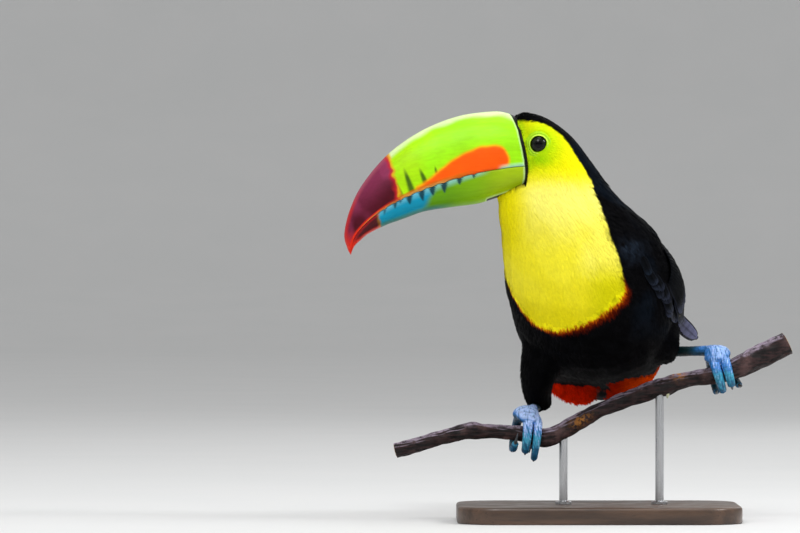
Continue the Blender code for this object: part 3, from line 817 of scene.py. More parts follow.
def bare(points):
    """True round the eyes and in front of the bill's line."""
    x, _, z = points.T
    to_eye = np.hypot(x - EYE_X, z - EYE_Z)
    start = np.where(z > 280, -0.4, np.where(z < CHIN_TOP + 8, 1.7, 1.4))
    return (to_eye < EYE_SKIN - 0.8) | ((behind_bill(x, z) < start) & (z > 224.5) & (x < FACE_X))


def under_vanes(points, region):
    """True where a wing's large feathers cover the skin."""
    covered = np.zeros(len(points), bool)
    for code, line in enumerate(WING_MIDDLES, 1):
        of_wing = np.flatnonzero(region == code)
        covered[of_wing] = nearest_on(line, points[of_wing]) > WING_TUFTS * len(line)
    return covered


def scattered():
    """Places for feathers on the skin, as far apart as their kind says."""
    corners = SKIN_POINTS[SKIN_TRIS]
    area = norm(np.cross(corners[:, 1] - corners[:, 0], corners[:, 2] - corners[:, 0]), axis=1) / 2
    count = int(area.sum() * TRIED)
    tri = rng.choice(len(area), count, p=area / area.sum())
    a, b = rng.random(count), rng.random(count)
    over = a + b > 1
    a, b = np.where(over, 1 - a, a), np.where(over, 1 - b, b)
    first, second, third = corners[tri].transpose(1, 0, 2)
    places = first + a[:, None] * (second - first) + b[:, None] * (third - first)
    keep = ~bare(places) & ~under_vanes(places, SKIN_REGIONS[tri])
    places, tri = places[keep], tri[keep]
    _, inside = markings(places, TRI_NORMALS[tri])
    kind = kinds_of(places, TRI_NORMALS[tri], SKIN_REGIONS[tri], inside)
    shown = places + SKIN_LIE[tri] * (SHOWN_AT * np.array([KINDS[k][1] for k in kind]))[:, None]
    tints, inside = markings(shown, TRI_NORMALS[tri], ~IS_WING[tri])
    kind = kinds_of(shown, TRI_NORMALS[tri], SKIN_REGIONS[tri], inside)
    spacing = np.array([KINDS[k][0] for k in kind])
    tree = KDTree(len(places))
    for i, p in enumerate(places.tolist()):
        tree.insert(p, i)
    tree.balance()
    alive = np.ones(len(places), bool)
    chosen = []
    for i, p in enumerate(places.tolist()):
        if alive[i]:
            chosen.append(i)
            for _, j, _ in tree.find_range(p, spacing[i]):
                alive[j] = False
    chosen = np.array(chosen)
    return places[chosen], tri[chosen], tints[chosen], kind[chosen]


def paths_over_skin(places, tris, lengths, heights, sway, lift):
    """Each feather's points, from its root along the lie of the coat, with the normals and sides there."""
    at, normal = places, TRI_NORMALS[tris]
    way = SKIN_LIE[tris]
    way = across(way + np.cross(normal, way) * sway[:, None], normal)
    rows = []
    for step in range(STEPS + 1):
        share = step / STEPS
        rise = lift + 0.1 + (heights - 0.1) * share ** 0.8
        rows.append((at + normal * rise[:, None], normal, across(np.cross(normal, way), normal)))
        if step < STEPS:
            at, normal, tris = on_skin(at + way * (lengths / STEPS)[:, None])
            fresh = SKIN_LIE[tris]
            fresh = across(fresh + np.cross(normal, fresh) * sway[:, None], normal)
            way = across(way * 0.5 + fresh * 0.5, normal)
    return [np.stack(part, 1) for part in zip(*rows)]


def tufts(name, kind, places, tris, tints):
    """A piece of small feathers: each is a fan of tapered strands from one root."""
    _, length, half_width, strands, height = KINDS[kind]
    count = len(places)
    lengths = length * rng.uniform(0.8, 1.2, count)
    behind = behind_bill(places[:, 0], places[:, 2])
    forehead = smooth(13, 1, behind) * smooth(278, 283, places[:, 2])
    silky = kind in SILKY
    heights = height * rng.uniform(*((0.9, 1.1) if silky or kind == "cap" else (0.75, 1.15)), count)
    lift = FOREHEAD_RISE * forehead * (kind == "cap")
    if kind == "red":
        hanging = smooth(0, -14, places[:, 0])
        heights, lengths = heights * (1 + 2.4 * hanging), lengths * (1 + 0.4 * hanging)
    if kind == "thigh":
        heights = heights * (1 + 1.1 * smooth(40, 50, places[:, 0]))
    body = 1.0 - IS_WING[tris]
    inside = np.abs(markings(places, TRI_NORMALS[tris])[1])
    border = np.flatnonzero((inside < BORDER) | (np.abs(behind) < 5))
    if kind in ("bib", "body"):
        lengths = lengths * blend(AT_BORDER, 1, smooth(2, BORDER, inside))
    path, normal, side = paths_over_skin(places, tris, lengths, heights, rng.normal(0, 0.09, count), lift)
    way = unit(path[:, -1] - path[:, 0])
    width = half_width * rng.uniform(0.85, 1.15, count)
    corner = TRI_UV[tris] + rng.uniform(-0.4, 0.4, (count, 2)) * PATCH
    shade = rng.normal(1, 0.018 if silky else 0.04, count)
    points, colours, uvs, rounded = [], [], [], []
    thickness = np.array(THICKNESS) * half_width / strands * (2.3 if silky else 1.75)
    row = np.arange(count)
    for k in range(strands):
        offset = 2 * k / (strands - 1) - 1
        reach = (1 - 0.3 * abs(offset) ** 1.6) * rng.uniform(0.88, 1.0, count)
        lean = offset + rng.normal(0, 0.07, count)
        jitter = rng.normal(0, 0.7, count)
        tone = (shade * rng.normal(1, 0.014 if silky else 0.03, count))[:, None]
        strand = []
        for step in range(STEPS + 1):
            along = reach * step
            low = np.minimum(along.astype(int), STEPS - 1)
            t = (along - low)[:, None]
            centre, sideways, up = (
                part[row, low] * (1 - t) + part[row, low + 1] * t for part in (path, side, normal))
            centre = centre + sideways * (width * PROFILE[step] * lean)[:, None]
            centre = centre - up * (0.16 * abs(offset) * half_width * PROFILE[step])
            coloured = tints.copy()
            if len(border):
                shown = centre[border] + way[border] * jitter[border, None]
                coloured[border] = markings(shown, up[border], body[border])[0]
            for end in (-1, 1) if step < STEPS else (0,):
                strand.append(centre + sideways * thickness[step] * end)
                rounded.append(unit(up + sideways * (0.28 * offset + 0.2 * end)))
                colours.append(coloured * tone * blend(0.96, 1.0, smooth(0, 0.6, step / STEPS)))
                spot = np.array([0.5 + 0.42 * offset + 0.06 * end, 0.1 + 0.8 * step / STEPS])
                uvs.append(corner + PATCH * spot)
            if step == 1:
                under = centre - up * (0.35 * thickness[1]), up, coloured * tone, uvs[-1]
        for made, part in zip((strand, rounded, colours, uvs), under):
            made.append(part)
        points.append(np.stack(strand, 1))
    points = np.concatenate([p[:, None] for p in points], 1).reshape(-1, 3)
    colours, uvs, rounded = (np.stack(part, 1).reshape(len(points), -1) for part in (colours, uvs, rounded))
    starts = np.arange(count * strands)[:, None] * STRAND_POINTS
    faces = [corners for face in UPPER_FACES + UNDER_FACES for corners in (starts + face).tolist()]
    return add_mesh(name, points, faces, LOOKS[KIND_LOOKS.get(kind, "black")], tints=np.clip(colours, 0, 1),
                    bake_uv=uvs, normals=rounded,
                    upper=count * strands * UPPER_CORNERS)


def make_coat():
    """All the small feathers, each kind in pieces that are small enough to bake."""
    places, tris, tints, kind = scattered()
    for name in KINDS:
        chosen = np.flatnonzero(kind == name)
        chosen = chosen[np.argsort(places[chosen, 2], kind="stable")]
        triangles = len(chosen) * KINDS[name][3] * STRAND_TRIANGLES
        pieces = max(1, math.ceil(triangles / MOST_TRIANGLES))
        for k, part in enumerate(np.array_split(chosen, pieces)):
            if len(part):
                tufts(f"feathers_{name}_{k + 1}", name, places[part], tris[part], tints[part])


off_wings = np.ones(len(SKIN_POINTS))
off_wings[SKIN_TRIS[IS_WING]] = 0
skin_tints, _ = markings(SKIN_POINTS, SKIN_NORMALS, off_wings)
SKIN = add_mesh("skin", SKIN_POINTS, faces_of(SKIN_MESH), LOOKS["skin"],
                tints=skin_tints * 0.93)
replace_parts(SKIN, *FLESH)
make_coat()


# ---------------------------------------------------------------- the eyes

def spokes(axis, count):
    """Unit vectors at even turns round an axis."""
    first = unit(np.cross(axis, (0, 0, 1) if abs(axis[2]) < 0.9 else (0, 1, 0)))
    turns = np.linspace(0, 2 * math.pi, count, endpoint=False)[:, None]
    return np.cos(turns) * first + np.sin(turns) * np.cross(axis, first)


def lathe(profile, centre, axis, segments):
    """Rings round an axis from (radius, height) pairs: points in rows."""
    axis = unit(np.array(axis, float))
    ring = spokes(axis, segments)
    return np.concatenate([np.array(centre) + axis * height + radius * ring for radius, height in profile])


def capped(rows, columns):
    """The faces of a closed tube: quads between its rings, and a cap at either end."""
    last = (rows - 1) * columns
    ends = [list(range(columns))[::-1], list(range(last, last + columns))]
    return grid_faces(rows, columns, True).tolist() + ends


BALL_ROWS, BALL_COLUMNS = 60, 72
LID_ROWS, LID_COLUMNS = 40, 96
PUPIL, EYE_BLACK = (0.0006, 0.0006, 0.001), (0.001, 0.001, 0.001)
IRIS_DARK, IRIS_LIGHT = (0.004, 0.006, 0.004), (0.013, 0.016, 0.009)
# the lid's green, and painted shade at its rim
LID_GREEN, LID_RIM_SHADE = (0.38, 0.68, 0.006), (0.02, 0.03, 0.004)
# Round the eye: each fold's rise, radius and reach, and each coloured ring's colour, share, radius and reach.
# The bright ring on the inner fold is a painted highlight, and the darker rings in the creases are painted shade.
LID_FOLDS = ((0.75, 6.3, 0.45), (0.42, 8.3, 0.55), (0.2, 9.9, 0.55), (-0.25, 7.25, 0.35))
LID_HIGHLIGHT_AND_SHADE_RINGS = (((0.6, 0.86, 0.08), 1, 6.5, 0.4), ((0.2, 0.42, 0.004), 0.75, 7.3, 0.3),
             ((0.28, 0.52, 0.004), 0.4, 9.1, 0.35))


def make_eye(side, way):
    """An eyeball with its iris and pupil under a clear bulge, and the ring of bare folded skin round it."""
    axis = np.array([-0.12, way * 0.98, -0.06])
    centre = np.array([EYE_X, HEAD_Y + way * EYE_OUT, EYE_Z])
    turns = np.radians(np.linspace(0.5, 100, BALL_ROWS))
    profile = [(EYE_RADIUS * math.sin(t), EYE_RADIUS * math.cos(t)) for t in turns]
    radius = np.repeat([p[0] for p in profile], BALL_COLUMNS)
    round_iris = np.tile(np.linspace(0, 60, BALL_COLUMNS), BALL_ROWS)
    rays = wobble(np.stack([round_iris, radius * 0, radius * 0], 1), 2.2, 9)
    tint = blend(PUPIL, blend(IRIS_DARK, IRIS_LIGHT, 0.5 + 0.5 * rays), smooth(2.5, 2.9, radius))
    tint = blend(tint, EYE_BLACK, smooth(4.3, 5.0, radius))
    ball = add_mesh("eyeball_" + side, lathe(profile, centre, axis, BALL_COLUMNS),
                    grid_faces(BALL_ROWS, BALL_COLUMNS, True)[:, ::-1], LOOKS["eye"], tints=tint)
    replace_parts(ball, "eye_" + side)

    axis = unit(axis)
    rim_height = math.sqrt(EYE_RADIUS**2 - EYE_OPENING**2)
    outer = EYE_SKIN + 1.6
    spread = np.linspace(0, 2 * math.pi, LID_COLUMNS, endpoint=False)
    directions = spokes(axis, LID_COLUMNS)
    skin_height = []
    for direction in directions:
        start = centre + direction * (outer + 0.6) + axis * 25
        hit = SKIN_TREE.ray_cast(Vector(start), Vector(-axis))[0]
        skin_height.append((np.array(hit) - centre) @ axis if hit is not None else rim_height)
    skin_height = np.array(skin_height)
    rows, tints = [], []
    for r in np.linspace(EYE_OPENING - 0.25, outer, LID_ROWS):
        base = rim_height + 0.25 + (skin_height - 0.4 - rim_height) * smooth(EYE_OPENING + 0.5, outer, r)
        wrinkle = 0.09 * np.sin(spread * 31 + 2.3 * math.sin(r * 2.1))
        wrinkle = wrinkle * smooth(6.6, 7.6, r) * smooth(outer, 8.6, r)
        fold = sum(rise * bell(r - middle, reach) for rise, middle, reach in LID_FOLDS)
        dip = 0.9 * (1 - smooth(EYE_OPENING - 0.3, EYE_OPENING + 0.25, r))
        rows.append(centre + directions * r + axis * (base + fold - dip + wrinkle)[:, None])
        tone = painted(LID_GREEN, *((colour, most * bell(r - middle, reach))
                                    for colour, most, middle, reach in LID_HIGHLIGHT_AND_SHADE_RINGS))
        # painted shade where the skin dips to the eyeball
        tone = blend(tone, LID_RIM_SHADE, 1 - smooth(EYE_OPENING - 0.15, EYE_OPENING + 0.2, r))
        tints.append(np.tile(tone, (LID_COLUMNS, 1)))
    add_mesh("eye_skin_" + side, np.concatenate(rows), grid_faces(LID_ROWS, LID_COLUMNS, True)[:, ::-1],
             LOOKS["lid"], tints=np.concatenate(tints))


make_eye("left", -1)
make_eye("right", 1)


# ---------------------------------------------------------------- the bill

def bill_half_width(share):
    """At a share of the bill's length."""
    return 0.8 + 19.7 * (1 - share**1.7) ** 0.8


BILL_ROWS, BILL_COLUMNS = 340, 120
LOWER_INSET = 0.35
UPPER_SUNK, LOWER_SUNK = 2.8, 5.5  # how far the bill's root dives under the face's skin
# Soft dark smudges over the bill's edge: x and z of the top and of the foot, and half the width there.
UPPER_MARKS = ((-144.5, 242, -139.5, 229.5, 3.4), (-137.4, 249, -131.2, 231.5, 4.0),
               (-126.6, 249, -121, 236, 3.8), (-115.8, 250.5, -113.6, 241.5, 2.2))
# Dark teeth under it: x of the rear and front ends at the edge and of the tip, and the length.
LOWER_MARKS = ((-151.4, -149.6, -150.9, 4.4), (-144.7, -141.8, -143.4, 4.6), (-140.6, -138.2, -140, 2.8),
               (-135.8, -131.1, -132.9, 6.6), (-127.3, -122.7, -123.7, 8.2), (-120, -115, -116.7, 7),
               (-111.7, -106.7, -108.8, 7.8), (-100.6, -96.2, -98.4, 5.2), (-89.8, -86.9, -88.6, 3.2))
# The orange patch's upper edge and the border of the dark tip: x, z.
FLAME_TOP = ((-128, 234.8), (-119, 240.5), (-111, 247.5), (-98.5, 256.5), (-86, 262), (-78, 263.6),
             (-71.5, 263.3), (-67.4, 261), (-65, 257), (-64.6, 253), (-66, 250.4), (-69.5, 248.8))
TIP_BORDER = ((-150.5, 270), (-148.6, 257), (-144.8, 247.2), (-144.4, 241.5), (-142.2, 236.5), (-141, 231),
              (-140, 226.5))
LOWER_TIP_BORDER = ((-155.5, 218), (-153.4, 212.5), (-153, 205))

UPPER_LIME = (0.33, 0.79, 0.004)
UPPER_YELLOW = (0.4, 0.76, 0.001)
# pale along the crest: partly its own colour, partly painted highlight
CREST_PALE_HIGHLIGHT = (0.68, 0.84, 0.4)
FLAME = (0.94, 0.1, 0.001)
FLAME_EDGE = (0.93, 0.34, 0.003)
MAROON = (0.07, 0.002, 0.009)
DUSKY_PINK = (0.26, 0.03, 0.09)
# a painted highlight on the crest's upper part
CREST_HIGHLIGHT_PINK = (0.33, 0.05, 0.1)
CRIMSON = (0.5, 0.012, 0.018)
TIP_RED = (0.72, 0.022, 0.004)
EDGE_ORANGE = (0.56, 0.14, 0.003)
EDGE_GLINT = (0.72, 0.36, 0.08)
BORDER_ORANGE = (0.7, 0.36, 0.01)
GAPE_PALE = (0.4, 0.74, 0.55)
# a painted highlight in front of the bill's black root line
LINE_HIGHLIGHT = (0.6, 0.85, 0.4)
LOWER_REAR = (0.34, 0.5, 0.004)
LOWER_OLIVE = (0.2, 0.43, 0.001)
LOWER_GREEN = (0.11, 0.31, 0.001)
TURQUOISE = (0.001, 0.27, 0.43)
UNDER_TEAL = (0.006, 0.15, 0.12)
PALE_TEAL = (0.24, 0.56, 0.5)
PALE_SKY = (0.14, 0.48, 0.62)
MARK_GREEN = (0.03, 0.09, 0.004)
MARK_TEAL = (0.001, 0.035, 0.055)
LOWER_MAROON = (0.075, 0.006, 0.01)


def inside_flame(x, z):
    """Millimetres inside the orange patch, which lies between its upper edge and the cutting edge."""
    line = through(FLAME_TOP, 56)
    far, _ = outline_distance(x, z, line)
    crown = line[:, 1].argmax()
    top = np.interp(x, line[: crown + 1, 0], line[: crown + 1, 1], right=line[crown, 1])
    rear = np.interp(z, line[:crown:-1, 1], line[:crown:-1, 0])
    return np.where((z < top) & (x < rear) & (x > FLAME_TOP[0][0]), far, -far)


def teeth_on(x, depth):
    """How dark the teeth are at a place x along the bill and that depth below its edge."""
    dark = np.zeros(len(x))
    for rear, front, tip, length in LOWER_MARKS:
        share = np.clip(depth / length, 0, 1)
        inside = np.minimum(x - rear - (tip - rear) * share**1.5, front + (tip - front) * share**1.5 - x)
        dark = np.maximum(dark, smooth(-0.35, 0.35, inside) * smooth(length + 0.4, length - 0.6, depth))
    return dark


def smudges_on(x, z):
    """How dark the smudges are at a place on the upper mandible."""
    dark = np.zeros(len(x))
    for top_x, top_z, foot_x, foot_z, half in UPPER_MARKS:
        share = np.clip((top_z - z) / (top_z - foot_z), -0.2, 1.2)
        width = half * (0.2 + 0.8 * np.clip(share, 0, 1) ** 0.8)
        off = np.abs(x - top_x - (foot_x - top_x) * share)
        body = smooth(width, width * 0.25, off) * smooth(-0.1, 0.4, share)
        dark = np.maximum(dark, body)
    return dark


def upper_tints(x, z, depth, to_crest):
    """The upper mandible's colours, with painted highlights on the crest, the dark tip and the cutting edge, from
    each place and how far it is from the cutting edge and the crest.
    """
    points = np.stack([x, z, x * 0], 1)
    inside = inside_flame(x, z) + 0.25 * wobble(points, 9, 32)
    tint = painted(
        UPPER_LIME,
        (UPPER_YELLOW, smooth(-108, -138, x + 5 * wobble(points, 22, 31))),
        (UPPER_YELLOW, 0.5 * smooth(-7, 0, inside) * smooth(-64, -70, x)),
        # a pale stripe along the crest: partly its own colour, partly painted highlight
        (CREST_PALE_HIGHLIGHT, smooth(4.8, 1.0, to_crest + 0.6 * wobble(points, 14, 35)) * smooth(-156, -146, x)),
        (MARK_GREEN, 0.92 * smudges_on(x, z)),
        (FLAME_EDGE, smooth(-2.2, 0.2, inside)),
        (FLAME, smooth(-0.6, 1.2, inside)),
        (GAPE_PALE, smooth(2.3, 1.4, depth) * smooth(-73, -67, x)),
        (EDGE_ORANGE, smooth(2.6, 1.5, depth) * smooth(-84, -100, x)),
        (EDGE_GLINT, smooth(0.9, 0.4, depth) * smooth(-100, -112, x) * smooth(-172, -160, x)))
    past = x_on(TIP_BORDER, z) + 0.7 * wobble(points, 5, 33) - x
    lit = 0.5 * smooth(-0.2, 1, wobble(points, 16, 34)) + 0.8 * smooth(22, 3, to_crest) * smooth(205, 245, z)
    dark = blend(MAROON, DUSKY_PINK, np.clip(lit, 0, 1))
    # ridge: a painted pink highlight on the crest's upper part, turning lower down to crimson, its own colour
    ridge = blend(CREST_HIGHLIGHT_PINK, CRIMSON, smooth(236, 218, z))
    dark = painted(
        dark,
        (ridge, smooth(3.6, 0.8, to_crest) * smooth(268, 245, z)),
        (CRIMSON, 0.9 * smooth(4.5, 0.5, past)),
        (TIP_RED, smooth(208, 190, z)))
    tint = painted(
        tint,
        (BORDER_ORANGE, smooth(-2.4, -0.2, past) * smooth(1.5, 3.5, depth)),
        (dark, smooth(-0.5, 0.9, past)),
        (TIP_RED, smooth(2.0, 1.0, depth) * smooth(-136, -148, x)))
    glint = smooth(0.8, 0.3, depth) * smooth(-136, -146, x) * smooth(-172, -160, x)
    return blend(tint, EDGE_GLINT, 0.7 * glint)


def lower_tints(x, z, depth, to_keel, drop):
    """The lower mandible's colours. drop is how far each place is straight under the cutting edge."""
    points = np.stack([x, z, x * 0], 1)
    tint = painted(
        LOWER_OLIVE,
        (LOWER_GREEN, smooth(-88, -112, x)),
        (LOWER_REAR, smooth(-92, -64, x)),
        (UNDER_TEAL, smooth(-100, -116, x + 0.8 * wobble(points, 8, 43)) * smooth(4, 0.5, to_keel)))
    blue = smooth(-110, -119, x + 0.6 * depth + 1.5 * wobble(points, 10, 41))
    tint = blend(tint, TURQUOISE, blue * smooth(0.3, 3.5, to_keel))
    band_depth = np.interp(x, (-150, -123, -105, -86), (2.6, 4.6, 4.2, 2.4))
    band = smooth(band_depth + 1.2, 0.4, depth) * smooth(-76, -88, x) * smooth(-160, -148, x)
    tint = blend(tint, blend(PALE_TEAL, PALE_SKY, smooth(-116, -127, x)), 0.85 * band)
    tint = blend(tint, MARK_TEAL, 0.95 * teeth_on(x, drop - 0.2))
    limit = x_on(LOWER_TIP_BORDER, z) + 0.6 * wobble(points, 5, 42)
    dark = painted(
        LOWER_MAROON,
        (CRIMSON, smooth(2.2, 0.8, depth) * 0.5),
        (TIP_RED, 0.8 * smooth(2.5, 0.4, to_keel)),
        (TIP_RED, 0.8 * smooth(202, 194, z)),
        (BORDER_ORANGE, 0.35 * smooth(2, 0.2, limit - x)))
    return blend(tint, dark, smooth(0.6, -0.6, x - limit))


def make_mandible(name, crest, keel, upper):
    """Rings from the cutting edge over the crest and back; keel shapes them, and a lower one is sharper."""
    edges, crests = through(TOMIUM, BILL_ROWS), through(crest, BILL_ROWS)
    share = np.linspace(0, 1, BILL_ROWS)
    half_width = bill_half_width(np.minimum(share, 0.9999))
    if not upper:
        half_width = half_width - LOWER_INSET * smooth(1, 0.9, share)
    turns = np.linspace(0, math.pi, BILL_COLUMNS)
    rise = np.sin(turns) ** keel
    lift = 0.15 if upper else -0.15
    edge_x, edge_z = edges[:, :1], edges[:, 1:] + lift
    crest_x, crest_z = crests[:, :1], crests[:, 1:]
    x = edge_x + (crest_x - edge_x) * rise
    z = edge_z + (crest_z - edge_z) * rise
    y = HEAD_Y + half_width[:, None] * np.cos(turns)
    if upper:
        teeth = sum(0.6 * bell(edges[:, 0] - (rear + front) / 2, (front - rear) * 0.45)
                    for rear, front, _, _ in LOWER_MARKS)
        z = z - teeth[:, None] * bell(rise, 0.035)
    flat_x, flat_z = x.ravel(), z.ravel()
    depth, _ = outline_distance(flat_x, flat_z, edges[::8])
    to_crest, _ = outline_distance(flat_x, flat_z, crests[::8])
    if upper:
        tints = upper_tints(flat_x, flat_z, depth, to_crest)
    else:
        drop = np.abs(np.interp(x, edges[::-1, 0], edges[::-1, 1]) - z).ravel()
        tints = lower_tints(flat_x, flat_z, depth, to_crest, drop)
    behind = behind_bill(flat_x, flat_z)
    line = np.where(flat_z < CHIN_TOP, CHIN_LINE, SIDE_LINE - 0.6 * smooth(272, 282, flat_z))
    hidden_from = np.where(flat_z < CHIN_TOP + 6, 0.4, 1.4)
    tints = painted(
        tints,
        # painted highlight just in front of the black line
        (LINE_HIGHLIGHT, 0.6 * smooth(-1.4, -0.5, behind + line)),
        (LINE_BLACK, smooth(-0.2, 0.2, behind + line)),
        (DEEP_YELLOW, smooth(0, 0.4, behind - hidden_from) * (flat_z < 279)))
    points = np.stack([x, y, z], -1)
    normal = unit(np.cross(np.gradient(points, axis=0), np.gradient(points, axis=1)))
    middle = np.stack([crest_x * 0.4 + edge_x * 0.6, edge_x * 0 + HEAD_Y, crest_z * 0.4 + edge_z * 0.6], -1)
    normal = normal * np.sign(((points - middle) * normal).sum(-1, keepdims=True))
    crown = smooth(279, 284, z)
    sunk = UPPER_SUNK if upper else LOWER_SUNK
    sunk = sunk * smooth(0.4 + 1.6 * crown, 2.6 + 2.4 * crown, behind.reshape(x.shape))
    points = (points - normal * sunk[..., None]).reshape(-1, 3)
    faces = capped(BILL_ROWS, BILL_COLUMNS)
    if upper:
        faces = [face[::-1] for face in faces]
    return add_mesh(name, points, faces, LOOKS["bill"], tints=tints)


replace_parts(make_mandible("upper_mandible", CULMEN, 0.85, True), "bill_upper")
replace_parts(make_mandible("lower_mandible", GONYS, 0.7, False), "bill_lower")


# ---------------------------------------------------------------- the large feathers

# Each surface is two functions. One gives places from a share of its length, a way across it and a lift off it.
# The other gives its width there, which is 1 where the way across is in millimetres.
WING_TABLE = through(WING_LEFT, 161)


def in_millimetres(s):
    return np.ones(np.shape(s))


def row_at(table, s):
    """The table's row at each share of its length, and the index of the row before."""
    at = np.clip(s, 0, 1) * (len(table) - 1)
    low = np.minimum(at.astype(int), len(table) - 2)
    t = (at - low)[..., None]
    return table[low] * (1 - t) + table[low + 1] * t, low


def wing_surface(right):
    """A wing's outer face. The way across is a share of its width."""
    def place_at(s, v, lift):
        row, _ = row_at(WING_TABLE, s)
        lower, middle, upper, half = row[..., :3], row[..., 3:6], row[..., 6:9], row[..., 9]
        out = across(middle - lower, unit(upper - lower))
        out = out * np.where(out[..., :1] < 0, -1, 1)
        v = v[..., None]
        bend = 2 * middle - (lower + upper) / 2
        centre = lower * (1 - v) ** 2 + bend * 2 * v * (1 - v) + upper * v * v
        swell = 0.25 + 0.75 * np.maximum(np.sin(math.pi * np.clip(v, 0, 1)), 0) ** 0.7
        made = centre + out * (half[..., None] * swell + lift[..., None])
        return mirrored(made) if right else made

    def width_at(s):
        row = WING_TABLE[(np.clip(s, 0, 1) * (len(WING_TABLE) - 1)).astype(int)]
        return norm(row[..., 6:9] - row[..., :3], axis=-1)

    return place_at, width_at


def tail_surface():
    """The tail's middle layer."""
    root, tip = np.array(TAIL_ROOT, float), np.array(TAIL_TIP, float)
    side = unit(np.cross(tip - root, (0, 0, 1)))
    up = unit(np.cross(side, tip - root))

    def place_at(s, v, lift):
        return root + (tip - root) * s[..., None] + side * v[..., None] + up * lift[..., None]

    return place_at, in_millimetres


VANE_ROWS, VANE_COLUMNS = 18, 9


def vanes(name, surface, feathers, look="vane"):
    """A piece of large feathers, each a thin closed vane with a raised shaft. A feather is the places of its root
    and tip on the surface, half its width, its two lifts, where its end starts to narrow, and its two colours."""
    place_at, width_at = surface
    t = np.linspace(0, 1, VANE_ROWS)
    c = np.linspace(-1, 1, VANE_COLUMNS)
    points, faces, tints, sides, alongs, uvs = [], [], [], [], [], []
    cells = math.ceil(math.sqrt(len(feathers)))
    sheet = VANE_ROWS * VANE_COLUMNS
    top = grid_faces(VANE_ROWS, VANE_COLUMNS, False)
    rim = [k * VANE_COLUMNS for k in range(VANE_ROWS)]
    border = (list(range(VANE_COLUMNS)) + [k + VANE_COLUMNS - 1 for k in rim[1:]]
              + list(range(sheet - 2, sheet - VANE_COLUMNS - 1, -1)) + rim[-2:0:-1])
    ring, after = np.array(border), np.roll(border, -1)
    wall = np.stack([after, ring, ring + sheet, after + sheet], -1)
    closed = np.concatenate([top, top[:, ::-1] + sheet, wall])
    for index, (s0, v0, s1, v1, half, lift0, lift1, blunt, tint, tip_tint) in enumerate(feathers):
        s = s0 + (s1 - s0) * t
        sway = rng.normal(0, 0.012) * np.sin(math.pi * t)
        v = v0 + (v1 - v0) * t**1.15 + sway * np.sign(v1 - v0 + 1e-6)
        width = half * (0.4 + 0.6 * smooth(0, 0.3, t))
        end = np.clip((t - blunt) / (1.001 - blunt), 0, 1)
        width = width * np.sqrt(1 - end**2) + 0.05
        offset = width[:, None] * c[None] / width_at(s)[:, None]
        body = (lift0 + (lift1 - lift0) * t)[:, None] - 0.4 * c**2 * (width / half)[:, None]
        ridge = 0.3 * bell(c, 0.12) * (1 - 0.7 * t)[:, None]
        ruffle = 0.09 * np.sin(c * 9 + 40 * t[:, None] + index)
        thin = 0.14 * (1 - 0.6 * np.abs(c))
        at = np.repeat(s[:, None], VANE_COLUMNS, 1), v[:, None] + offset
        upper = place_at(*at, body + ridge + ruffle + thin)
        lower = place_at(*at, body + ruffle - thin)
        start = len(points) * 2 * sheet
        points.append(np.concatenate([upper.reshape(-1, 3), lower.reshape(-1, 3)]))
        faces.append(outward(points[-1], closed) + start)
        length = norm(np.diff(upper[:, VANE_COLUMNS // 2], axis=0), axis=1).sum()
        edge = np.tile(np.abs(c), (VANE_ROWS, 1))
        # towards its tip and edges a vane turns to its second colour; on the black feathers that colour is
        # painted sheen
        at_tip = smooth(0.62, 1.0, t)[:, None] + 0.35 * smooth(0.75, 1, edge)
        tone = blend(tint, tip_tint, np.clip(at_tip, 0, 1))
        tone = tone * rng.normal(1, 0.08)
        tone = blend(tone, tone * 0.45, smooth(0.18, 0.02, edge))
        tints += [tone.reshape(-1, 3)] * 2
        sides += [(width[:, None] * c[None]).ravel()] * 2
        alongs += [np.repeat(length * t[:, None], VANE_COLUMNS, 1).ravel()] * 2
        column, row = index % cells, index // cells
        u, w = np.meshgrid((column + 0.06 + 0.42 * (0.5 + 0.5 * c)) / cells, (row + 0.06 + 0.88 * t) / cells)
        uvs += [np.stack([u, w], -1).reshape(-1, 2), np.stack([u + 0.46 / cells, w], -1).reshape(-1, 2)]
    return add_mesh(
        name, np.concatenate(points), np.concatenate(faces), LOOKS[look],
        tints=np.clip(np.concatenate(tints), 0, 1), bake_uv=np.concatenate(uvs),
        values={"side": np.concatenate(sides), "along": np.concatenate(alongs)})


WING_BLACK = (0.0025, 0.003, 0.004)
# the two edge colours below are painted bluish sheen on black feathers
COVERT_EDGE_SHEEN = (0.006, 0.008, 0.013)
LOW_EDGE_SHEEN = (0.04, 0.046, 0.075)
PRIMARY_GREY = (0.006, 0.007, 0.01)
# painted sheen on the primaries' tips and on the blade
PRIMARY_TIP_SHEEN = (0.05, 0.055, 0.09)
BLADE_SHEEN = (0.13, 0.135, 0.24)
BLADE_DARK = (0.012, 0.013, 0.022)
TAN_GREY = (0.07, 0.06, 0.045)


